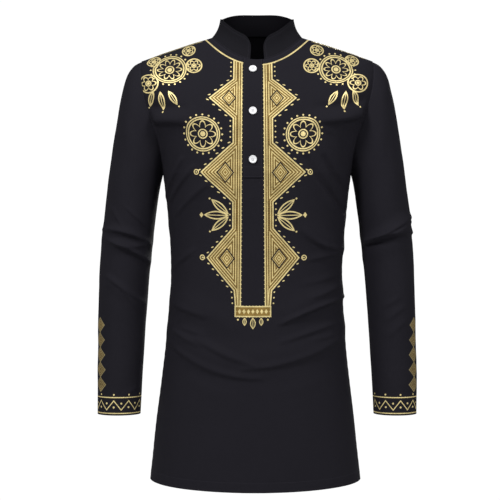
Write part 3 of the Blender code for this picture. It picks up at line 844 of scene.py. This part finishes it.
def node(tree, kind, settings=None, values=None, output=0):
    made = tree.nodes.new("ShaderNode" + kind)
    for name, value in (settings or {}).items():
        setattr(made, name, value)
    for name, value in (values or {}).items():
        if isinstance(value, Wire):
            tree.links.new(value.socket, made.inputs[name])
        else:
            made.inputs[name].default_value = value
    return Wire(made.outputs[output])


def size(a, b):  # the length of (a, b)
    return (a * a + b * b).maths("SQRT")


printEdge = 0.00035  # how soft the print's edges are


def inside(distance):  # 1 where a distance is below 0
    return (0.5 - distance / printEdge).upToOne()


def stroke(distance, halfWidth):  # a line along where a distance is 0
    return inside(abs(distance) - halfWidth)


def union(*masks):
    total = masks[0]
    for mask in masks[1:]:
        total = total.most(mask)
    return total


def colourMix(share, low, high):
    return node(share.socket.id_data, "Mix", {"data_type": "RGBA"}, {0: share, 6: low, 7: high}, output=2)


def scaled(colour, shade):
    return node(shade.socket.id_data, "VectorMath", {"operation": "SCALE"}, {0: colour, 3: shade})


def parts(vector):
    split = node(vector.socket.id_data, "SeparateXYZ", values={0: vector}).socket.node
    return Wire(split.outputs[0]), Wire(split.outputs[1])


def turned(a, b, centreA, centreB, degreesTurned):  # a place seen from a centre, with its first axis turned
    turn = radians(degreesTurned)
    da, db = a - centreA, b - centreB
    return da * cos(turn) + db * sin(turn), db * cos(turn) - da * sin(turn)


# each motif is drawn about a centre, and its mask is 1 on the print
def lozenge(a, b, centreA, centreB, halfA, halfB):  # distance outside a lozenge
    return (abs(a - centreA) * halfB + abs(b - centreB) * halfA - halfA * halfB) / hypot(halfA, halfB)


def polar(a, b, centreA, centreB):  # distance from a centre, and the angle round it
    da, db = a - centreA, b - centreB
    turn = node(da.socket.id_data, "Math", {"operation": "ARCTAN2"}, {0: db, 1: da})
    return size(da, db), turn


def leaf(a, b, centreA, centreB, degreesTurned, halfLength, halfWidth, line):  # with a rib along its middle
    along, across = turned(a, b, centreA, centreB, degreesTurned)
    outline = abs(across) + along * along * (halfWidth / halfLength**2) - halfWidth
    rib = (abs(across) - line * motif["rib"]).most(abs(along) - halfLength)
    return union(stroke(outline, line), inside(rib))


def rosette(a, b, centreA, centreB, petals, radius, line):  # a ring of petals round an eye
    away, turn = polar(a, b, centreA, centreB)
    wave = abs((turn * (petals / 2)).maths("COSINE")) * (1 - motif["petalFoot"])
    outline = away - radius * (motif["petalFoot"] + wave)
    ringLine = abs(away - radius * motif["innerRing"]) - line * motif["innerLine"]
    return union(stroke(outline, line), inside(ringLine), inside(away - radius * motif["eye"]))


def ring(a, b, centreA, centreB, radius, line):
    return stroke(size(a - centreA, b - centreB) - radius, line)


def dots(a, b, centreA, centreB, count, radius, dotRadius):
    away, turn = polar(a, b, centreA, centreB)
    return inside(size(turn.toNearest(2 * pi / count) * radius, away - radius) - dotRadius)


def dot(a, b, centreA, centreB, radius):
    return inside(size(a - centreA, b - centreB) - radius)


def gem(a, b, centreA, centreB, halfA, halfB):
    return inside(lozenge(a, b, centreA, centreB, halfA, halfB))


motif = {  # shares of a motif's own radius or line
    "rib": 0.6,
    "petalFoot": 0.56,
    "innerRing": 0.34,
    "innerLine": 0.8,
    "eye": 0.2,
}


def motifs(a, b, centreA, centreB, rows):  # rows of a motif, its place from the centre, and its sizes
    return union(*(draw(a, b, centreA + offA, centreB + offB, *sizes) for draw, offA, offB, *sizes in rows))


looks = {
    "cloth": (0.0116, 0.0108, 0.015),
    # the collar's cloth: the same cloth painted darker, as painted shade, because the collar leans back into
    # the light from above
    "collar": (0.008, 0.0076, 0.0103),
    # the cloth's inside and its cut edges, painted far darker than its face: painted shade for the inside of
    # the shirt
    "reversePaintedShade": (0.0036, 0.0034, 0.0046),
    "gold": (0.82, 0.675, 0.315),
    "bronze": (0.29, 0.185, 0.05),
    "button": (0.84, 0.84, 0.86),
    "thread": (0.7, 0.7, 0.72),
    "clothRoughness": 0.85,
    "clothShine": 0.1,
    "reverseShine": 0.03,
    "goldRoughness": 0.42,
    "sewing": (0.024, 0.0228, 0.03),
    "weavePitch": 0.00045,
    "foilMetal": 0.3,
    "slubScale": 140.0,
    "cloudScale": 9.0,
    "foilScale": 420.0,
    "patchScale": 45.0,
    "shade": (0.86, 0.18, 0.12),  # the least, and what slubs and clouds add
    "worn": (0.28, 0.7, 0.62),  # the same for the foil, its grain and its patches
    "slubRoughness": 0.12,
    "relief": {"weave": 0.00003, "slub": 0.00012, "thread": 0.00016, "line": 0.00006, "fill": 0.00003},
    "reliefStrength": 0.6,
}
stitch = {"pitch": 0.0028, "halfLength": 0.0011, "halfWidth": 0.00022, "dipWidth": 0.0022, "dip": 0.00035}


def sewing(rows):  # rows of stitches, each by how far it is from its line and how far along it is
    threads = []
    for off, along in rows:
        halfLength = along.toNearest(stitch["pitch"]) - stitch["halfLength"]
        threads.append(stroke(off, stitch["halfWidth"]) * inside(halfLength))
    dips = [(1 - abs(off) / stitch["dipWidth"]).most(0.0) for off, _ in rows]
    return union(*threads), union(*dips)


sewingRows = {  # for each piece, how far a place is from each row of stitches and how far along it is
    "body": lambda u, v, below, seam: [(v - 0.018, u), (seam - 0.0022, u + v), (below - 0.003, u)],
    "sleeve": lambda u, v, turn, fromArmhole: [(v - 0.016, u), (fromArmhole - 0.0022, u)],
    "collar": lambda u, v, below, fromEnd: [(below.least(fromEnd) - 0.005, u + v), (v - 0.0024, u)],
    "band": lambda u, v, fromEdge, above: [(fromEdge - 0.0018, v), (v - 0.0018, u), (v - 0.02, u)],
}


def newMaterial(name):
    material = bpy.data.materials.new(name)
    material.use_nodes = True
    return material, material.node_tree, material.node_tree.nodes["Principled BSDF"]


def speckle(panel, scale, detail, dimensions="2D"):
    values = {"Vector": panel, "Scale": scale, "Detail": detail}
    return node(panel.socket.id_data, "TexNoise", {"noise_dimensions": dimensions}, values)


def clothMaterial(name, colour, rows=None, drawPrint=None):  # rows of stitches by their name
    material, tree, shader = newMaterial(name)
    relief = looks["relief"]
    panel = node(tree, "UVMap", {"uv_map": "panel"})
    u, v = parts(panel)
    pitch = 2 * pi / looks["weavePitch"]
    weave = (u * pitch).maths("SINE") * (v * pitch).maths("SINE")
    slub = speckle(panel, looks["slubScale"], 3.0)
    cloud = speckle(node(tree, "TexCoord", output=3), looks["cloudScale"], 2.0, "3D")
    height = weave * relief["weave"] + slub * relief["slub"]
    least, slubShade, cloudShade = looks["shade"]
    base = scaled(colour, least + slub * slubShade + cloud * cloudShade)
    roughness = looks["clothRoughness"] + (slub - 0.5) * looks["slubRoughness"]
    edges = parts(node(tree, "UVMap", {"uv_map": "edges"}))
    if rows:
        thread, dip = sewing(sewingRows[rows](u, v, *edges))
        base = colourMix(thread, base, looks["sewing"] + (1,))
        height = height + thread * relief["thread"] - dip * stitch["dip"]
    if drawPrint:
        line, fill = drawPrint(u, v, *edges)
        least, grainShade, patchShade = looks["worn"]
        grain, patches = speckle(panel, looks["foilScale"], 3.0), speckle(panel, looks["patchScale"], 2.0)
        worn = least + grain * grainShade + patches * patchShade
        base = colourMix(fill, base, scaled(looks["bronze"], worn))
        base = colourMix(line, base, scaled(looks["gold"], worn))
        covered = line.most(fill)
        roughness = roughness + covered * (looks["goldRoughness"] - looks["clothRoughness"])
        tree.links.new((covered * looks["foilMetal"]).socket, shader.inputs["Metallic"])
        height = height + line * relief["line"] + fill * relief["fill"]
    bump = node(tree, "Bump", {}, {"Height": height, "Strength": looks["reliefStrength"], "Distance": 1.0})
    for wire, target in ((base, "Base Color"), (roughness, "Roughness"), (bump, "Normal")):
        tree.links.new(wire.socket, shader.inputs[target])
    shader.inputs["Specular IOR Level"].default_value = looks["clothShine"] if rows else looks["reverseShine"]
    return material


def plainMaterial(name, colour, roughness):
    material, _, shader = newMaterial(name)
    shader.inputs["Base Color"].default_value = (*colour, 1)
    shader.inputs["Roughness"].default_value = roughness
    return material


def placeOn(panel, x, z):  # the flat place of a point seen from straight in front
    away = np.hypot(panel["base"][..., 0] - x, panel["base"][..., 2] - z)
    place = np.unravel_index(np.argmin(away), away.shape)
    return float(panel["u"][place]), float(panel["v"][place])


art = {  # places are x and z as seen from in front, mirrored about the placket
    "topZ": -0.06,
    "neckLine": (0.013, 0.0014),  # how far below the neck seam, half its width
    "edgeTop": 0.02,  # the toothed edge, from the placket's middle
    "edgeBottom": 0.0228,
    "edgeLine": 0.0011,
    "toothPitch": 0.0078,
    "toothHeight": 0.0028,
    "toothSlope": 1.6,
    "barZ": (-0.5184, -0.5011),
    "barHalfWidth": 0.032,
    "barTeeth": (0.0024, 0.006),  # height, pitch
    "teethIn": 0.001,  # how far inside the bar's ends they stop
    "barGems": (0.008, 0.003, 0.0045),  # pitch, half width, half height
    "gemsIn": 0.002,
    "bandWidth": 0.0145,
    "bandTaper": (0.006, 0.07),  # how much narrower it is at the bar, and from how far above
    "lobes": ((-0.124, 0.07, 0.078), (-0.26, 0.086, 0.094), (-0.415, 0.096, 0.084)),
    "hearts": ((0.0105, 0.013), (0.013, 0.016), (0.012, 0.0155)),
    "heartIn": 0.001,
    "heartRows": (0.0036, 0.0007),  # pitch, half width
    "heartGap": (0.0012, 0.0011),  # the bare line round a heart: how far out, half width
    "rowPitch": 0.0043,
    "rowLine": 0.00075,
    "dotPitch": 0.0031,
    "dot": 0.0008,
    "dotDepth": 0.75,
    "outline": 0.0012,
    "beadGap": 0.0054,
    "beadPitch": 0.01,
    "bead": 0.0014,
    "tip": 0.01,  # the ring beyond the point of a lozenge
}
frontMotifs = [  # what each group hangs round (x and z, or z on the placket's own line), then its motifs
    (-0.5184, (  # drops below the bar
        (leaf, 0.0, -0.0125, 90, 0.0095, 0.0042, 0.0009),
        (leaf, 0.015, -0.0095, 90, 0.0065, 0.003, 0.0008),
        (dot, 0.027, -0.006, 0.0017),
    )),
    (-0.336, (  # the spray
        (leaf, 0.067, 0.0, 0, 0.0215, 0.0066, 0.0012),
        (leaf, 0.06, 0.0155, 40, 0.019, 0.0056, 0.0012),
        (leaf, 0.06, -0.0155, -40, 0.019, 0.0056, 0.0012),
        (gem, 0.095, 0.0, 0.0038, 0.005),
        (dot, 0.079, 0.03, 0.0017),
        (dot, 0.079, -0.03, 0.0017),
    )),
    ((0.083, -0.188), (  # the flower on the chest
        (rosette, 0.0, 0.0, 8, 0.0235, 0.0013),
        (ring, 0.0, 0.0, 0.027, 0.0012),
        (ring, 0.0, 0.0, 0.0308, 0.001),
        (dots, 0.0, 0.0, 20, 0.0356, 0.0017),
    )),
    ((0.146, -0.068), (  # the shoulder's wheel
        (rosette, 0.0, 0.0, 10, 0.022, 0.0014),
        (ring, 0.0, 0.0, 0.026, 0.0013),
        (ring, 0.0, 0.0, 0.03, 0.001),
        (dots, 0.0, 0.0, 20, 0.0348, 0.0017),
    )),
    ((0.158, -0.122), (  # leaves below it
        (leaf, -0.02, 0.003, 60, 0.015, 0.0048, 0.0012),
        (leaf, 0.002, -0.002, 85, 0.017, 0.0052, 0.0012),
        (leaf, 0.023, 0.004, 112, 0.015, 0.0048, 0.0012),
        (dot, -0.031, -0.014, 0.0016),
        (dot, 0.0, -0.024, 0.0016),
        (dot, 0.032, -0.013, 0.0016),
    )),
]
smallFlowers = [  # x, z, petals, radius, line, radius of the ring round it
    (0.185, -0.092, 6, 0.015, 0.0013, 0.0188),
    (0.101, -0.06, 6, 0.011, 0.0012, 0.0142),
    (0.112, -0.029, 5, 0.009, 0.0011, 0.0118),
    (0.176, -0.048, 5, 0.009, 0.0011, 0.0118),
]
for x, z, petals, radius, line, ringRadius in smallFlowers:
    flower = ((rosette, 0, 0, petals, radius, line), (ring, 0, 0, ringRadius, line))
    frontMotifs.append(((x, z), flower))
for z, _, halfWidth in art["lobes"][1:]:
    tip = halfWidth + art["tip"]
    frontMotifs.append((z, ((ring, tip, 0, 0.0042, 0.0009), (dot, tip, 0, 0.0014))))


def frontPrint(u, v, below, seam):
    s = abs(u)

    def at(z):  # a height on the placket's own line
        return placeOn(frontPanel, placket["middleX"], z)[1]

    top, barLow, barHigh = at(art["topZ"]), at(art["barZ"][0]), at(art["barZ"][1])
    edge = art["edgeTop"] + (top - v) * ((art["edgeBottom"] - art["edgeTop"]) / (top - barHigh))
    fromEdge = s - edge
    # the toothed edge beside the placket
    slant = v.toNearest(art["toothPitch"]) * art["toothSlope"]
    tooth = -fromEdge + slant - art["toothHeight"]
    toothed = inside(tooth.most(fromEdge)) * inside(-fromEdge - art["toothHeight"])
    # three half lozenges in a column, filled with rows that follow their sides
    narrower, taperFrom = art["bandTaper"]
    taper = (1 - (v - barHigh) / taperFrom).maths("MAXIMUM", 0.0, use_clamp=True)
    outside = fromEdge - art["bandWidth"] + taper * narrower
    hearts = None
    for (z, halfHeight, halfWidth), heartHalf in zip(art["lobes"], art["hearts"]):
        middle = at(z)
        outside = outside.least(lozenge(s, v, 0.0, middle, halfWidth, halfHeight))
        reach = halfWidth - art["edgeBottom"]  # the half lozenge left beside the toothed edge
        rise = halfHeight * reach / halfWidth
        deep = rise * reach / (rise + hypot(reach, rise))
        heart = lozenge(s, v, art["edgeTop"] + art["heartIn"] + deep, middle, *heartHalf)
        hearts = heart if hearts is None else hearts.least(heart)
    filled = inside(outside.most(-fromEdge))
    depth = (-outside).least(fromEdge)
    rows = inside(depth.toNearest(art["rowPitch"]) - art["rowLine"])
    between = (depth + art["rowPitch"] / 2).toNearest(art["rowPitch"])
    dotted = inside(size(between, v.toNearest(art["dotPitch"])) - art["dot"])
    gapAt, gapLine = art["heartGap"]
    bare = stroke(hearts - gapAt, gapLine)
    heartPitch, heartLine = art["heartRows"]
    heartRows = inside(hearts.toNearest(heartPitch) - heartLine) * inside(hearts)
    main = filled * (1 - inside(hearts - 2 * gapAt))
    beads = inside(size(outside - art["beadGap"], v.toNearest(art["beadPitch"])) - art["bead"])
    lines = union(
        stroke(fromEdge, art["edgeLine"]),
        toothed,
        main * rows,
        filled * heartRows,
        stroke(outside, art["outline"]) * inside(-fromEdge),
        beads,
    )
    span = inside(barHigh - v) * inside(art["neckLine"][0] - below)  # from the neck line down to the bar
    column = lines * span * (1 - bare * filled)
    fill = filled * (1 - bare) * (1 - art["dotDepth"] * dotted * main) * span
    # the bar that closes the column
    middle, halfHeight = (barLow + barHigh) / 2, (barHigh - barLow) / 2
    fromBar = abs(v - middle) - halfHeight
    bar = (s - art["barHalfWidth"]).most(fromBar)
    teethHeight, teethPitch = art["barTeeth"]
    teeth = inside(fromBar - teethHeight + s.toNearest(teethPitch) * art["toothSlope"])
    teeth = teeth * inside(s - art["barHalfWidth"] + art["teethIn"])
    gemPitch, *gemHalf = art["barGems"]
    gems = gem(s.toNearest(gemPitch), v, 0.0, middle, *gemHalf) * inside(bar + art["gemsIn"])
    barLine = union(stroke(bar, art["edgeLine"]), gems, teeth * inside(-bar))
    groups = []
    for place, group in frontMotifs:
        centre = placeOn(frontPanel, *place) if isinstance(place, tuple) else (0.0, at(place))
        groups.append(motifs(s, v, *centre, group))
    lines = union(column, barLine, *groups, shoulderChain(below, seam), neckLine(below))
    return lines, union(fill, inside(bar))


def neckLine(below):
    away, line = art["neckLine"]
    return stroke(below - away, line)


chain = {
    "pitch": 0.013,
    "fromSeam": 0.0085,
    "half": (0.0048, 0.005),
    "line": 0.0009,
    "core": 0.003,
    "rail": (0.0165, 0.0008),  # how far from the seam, half width
    "span": (0.072, 0.052),  # its middle below the neck, half length
}


def shoulderChain(below, seam):  # small lozenges beside the shoulder seam, from the neck to the armhole
    links = lozenge(below.toNearest(chain["pitch"]), seam, 0.0, chain["fromSeam"], *chain["half"])
    rail = stroke(seam - chain["rail"][0], chain["rail"][1])
    span = stroke(below - chain["span"][0], chain["span"][1])
    return union(stroke(links, chain["line"]), inside(links + chain["core"]), rail) * span


backDrops = ((0.03, 0.011), (0.054, 0.0085), (0.073, 0.006))  # lozenges: how far down, half width
backDrop = {"height": 1.2, "core": 0.45, "line": 0.001}  # its height and core are shares


def backPrint(u, v, below, seam):
    top = float(backPanel["v"][-1, backPanel["v"].shape[1] // 2])
    s = abs(u)
    drops = []
    for down, half in backDrops:
        outline = lozenge(s, v, 0.0, top - down, half, half * backDrop["height"])
        coreHalf = half * backDrop["core"]
        core = gem(s, v, 0.0, top - down, coreHalf, coreHalf * backDrop["height"])
        drops.append(union(stroke(outline, backDrop["line"]), core))
    lines = union(neckLine(below), *drops, shoulderChain(below, seam))
    return lines, lines * 0.0


cuff = {
    "about": 0.252,  # the way round the wrist
    "repeats": 9,
    "lowLine": 0.004,
    "highLine": 0.033,
    "line": 0.0009,
    "zigzagHeight": 0.0085,
    "zigzagSlope": 0.72,
    "dots": (0.0035, 0.0018, 0.0016, 0.005),  # off the middle, radius, radius above the border, how far
    "lozengePitch": 0.0275,
    "firstLozenge": 0.056,
    "lozenges": 5,
    "lozengeCentre": 0.027,  # in front of the sleeve's outer edge
    "lozenge": (0.015, 0.0134),
    "lozengeRows": (0.0034, 0.0007),  # pitch, half width
    "lozengeLine": 0.001,
    "lozengeGold": 0.3,  # the lozenges are printed thinly
    "lozengeBronze": 0.36,
}


def sleevePrint(u, v, turn, fromArmhole):
    wayRound = turn * cuff["about"]
    pitch = cuff["about"] / cuff["repeats"]
    near = wayRound.toNearest(pitch)
    middle = (cuff["lowLine"] + cuff["highLine"]) / 2
    zigzag = abs(v - middle - (1 - near * (4 / pitch)) * cuff["zigzagHeight"]) * cuff["zigzagSlope"]
    shift, borderDot, topDot, topGap = cuff["dots"]
    border = union(
        *(stroke(v - cuff[edge], cuff["line"]) for edge in ("lowLine", "highLine")),
        inside(zigzag - cuff["line"]),
        dot(near, v, 0.0, middle - shift, borderDot),
        dot((wayRound + pitch / 2).toNearest(pitch), v, 0.0, middle + shift, borderDot),
        dot(near, v, 0.0, cuff["highLine"] + topGap, topDot),
    )
    low = cuff["firstLozenge"] - cuff["lozengePitch"] / 2
    high = low + cuff["lozenges"] * cuff["lozengePitch"]
    local = (v - cuff["firstLozenge"]).toNearest(cuff["lozengePitch"])
    outline = lozenge(u, local, cuff["lozengeCentre"], 0.0, *cuff["lozenge"])
    span = inside(low - v) * inside(v - high)
    rowPitch, rowLine = cuff["lozengeRows"]
    rows = inside(outline.toNearest(rowPitch) - rowLine) * inside(outline)
    rows = union(rows, stroke(outline, cuff["lozengeLine"]))
    return union(border, rows * span * cuff["lozengeGold"]), inside(outline) * span * cuff["lozengeBronze"]


frontPanel, backPanel = bodyPanel(True), bodyPanel(False)
print("body cut")
# the inside faces and cut edges of the cloth take this painted shade
reversePaintedShade = clothMaterial("cloth reverse", looks["reversePaintedShade"])
# the collar's face is painted darker than the rest of the cloth, as painted shade
collarClothPaintedShade = clothMaterial("collar cloth with painted shade", looks["collar"], "collar")
bandCloth = clothMaterial("placket cloth", looks["cloth"], "band")
printedFront = clothMaterial("printed front cloth", looks["cloth"], "body", frontPrint)
printedBack = clothMaterial("printed back cloth", looks["cloth"], "body", backPrint)
printedSleeve = clothMaterial("printed sleeve cloth", looks["cloth"], "sleeve", sleevePrint)
pearl = plainMaterial("white button", looks["button"], 0.25)
thread = plainMaterial("white thread", looks["thread"], 0.7)
print("materials made", len(printedFront.node_tree.nodes))

overFace = placket["openingBelow"] + placket["bandThickness"]
underFace = -shirt["clothThickness"] - placket["openingBelow"]
cuts = {
    "front": frontPanel,
    "back": backPanel,
    "sleeve_left": sleevePanel("sleeve_left", 1),
    "sleeve_right": sleevePanel("sleeve_right", -1),
    "collar": collarPanel(),
    "placket_over": bandPanel(overFace),
    "placket_under": bandPanel(underFace),
}
print("sleeves, collar and placket cut")
make = {  # the materials outside and inside, the thickness, and how else each kind of panel is made
    "front": ([printedFront, reversePaintedShade], shirt["clothThickness"], {"isHole": inSlot}),
    "back": ([printedBack, reversePaintedShade], shirt["clothThickness"], {}),
    "sleeve": ([printedSleeve, reversePaintedShade], shirt["clothThickness"], {"closed": True}),
    "collar": ([collarClothPaintedShade, reversePaintedShade], collar["thickness"], {"edgeRound": collar["edgeRound"]}),
    "placket": ([bandCloth, bandCloth], placket["bandThickness"], {}),
}
pieces = {}
for name, panel in cuts.items():
    materials, thickness, how = make[name.split("_")[0]]
    pieces[name] = shell(name, panel, materials, thickness, **how)
print("panels made")
for number, z in enumerate(button["heights"], start=1):
    pieces[f"button_{number}"] = buttonPiece(f"button_{number}", z, [pearl, thread])
print("buttons made")

slots = {"button": "white_button", "placket": "placket_cloth"}
for name, piece in pieces.items():
    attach(piece, "root")
    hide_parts(name)
    slots.get(name.split("_")[0], "shirt_cloth")


def flatCut(panel):  # the width, length and area of a piece laid out flat
    u, v = panel["u"], panel["v"]
    area = np.abs(np.diff(u, axis=1)[1:] * np.diff(v, axis=0)[:, 1:]).sum()
    return (round(float(np.ptp(u)), 4), round(float(np.ptp(v)), 4)), round(float(area), 5)


hangsFrom = {
    "front": ("back", "collar"),
    "back": ("front", "collar"),
    "sleeve_left": ("front", "back"),
    "sleeve_right": ("front", "back"),
    "collar": ("front", "back"),
    "placket_over": ("front",),
    "placket_under": ("front",),
}
for name, panel in cuts.items():
    flat, area = flatCut(panel)
    print("cut", name, flat, area)
    min(area, flat[0] * flat[1])
    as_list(hangsFrom[name])

stage = {"z": -1.42, "radius": 3.0, "fade": 2.0, "colour": (0.9, 0.9, 0.9), "roughness": 0.8}
bm = bmesh.new()
bmesh.ops.create_circle(bm, cap_ends=True, segments=96, radius=stage["radius"],
                        matrix=Matrix.Translation((0, 0, stage["z"])))
floorPaint = plainMaterial("pale floor", stage["colour"], stage["roughness"])
away = parts(node(floorPaint.node_tree, "TexCoord", output=3))
fade = ((stage["radius"] - size(*away)) / stage["fade"]).upToOne()
floorPaint.node_tree.links.new(fade.socket, floorPaint.node_tree.nodes["Principled BSDF"].inputs["Alpha"])
floor = addMesh("floor", bm, [floorPaint])

world = bpy.data.worlds.new("studio")
bpy.context.scene.world = world
world.use_nodes = True
worldTree = world.node_tree
worldTree.nodes.clear()
glows = (0.2, 1.04)  # of the light that falls on things, and of the backdrop
light, backdrop = (node(worldTree, "Background", values={0: (1, 1, 1, 1), 1: glow}) for glow in glows)
both = node(worldTree, "MixShader", values={0: node(worldTree, "LightPath"), 1: light, 2: backdrop})
worldOut = worldTree.nodes.new("ShaderNodeOutputWorld")
worldTree.links.new(both.socket, worldOut.inputs[0])


def softbox(name, place, target, width, power):
    lamp = bpy.data.lights.new(name, "AREA")
    lamp.shape = "RECTANGLE"
    lamp.size, lamp.size_y = width, width
    lamp.energy = power
    obj = bpy.data.objects.new(name, lamp)
    obj.location = place
    obj.rotation_euler = (Vector(target) - Vector(place)).to_track_quat("-Z", "Y").to_euler()
    bpy.context.scene.collection.objects.link(obj)


for lampName, place, width, power in (
    ("key", (-1.5, -1.8, 1.7), 0.7, 72),
    ("second", (1.6, -1.8, 1.4), 0.8, 46),
    ("behind", (0.5, 2.6, 0.45), 1.2, 60),
):
    softbox(lampName, place, (0, 0, -0.45), width, power)

view = {"distance": 2.75, "x": -0.0132, "z": -0.3985, "lens": 105.3}
lens = bpy.data.cameras.new("camera")
lens.lens = view["lens"]
lens.sensor_width = 36
camera = bpy.data.objects.new("camera", lens)
camera.location = (view["x"], -view["distance"], view["z"])
camera.rotation_euler = (quarter, 0, 0)
bpy.context.scene.collection.objects.link(camera)
bpy.context.scene.camera = camera
bpy.context.scene.view_settings.view_transform = "Standard"
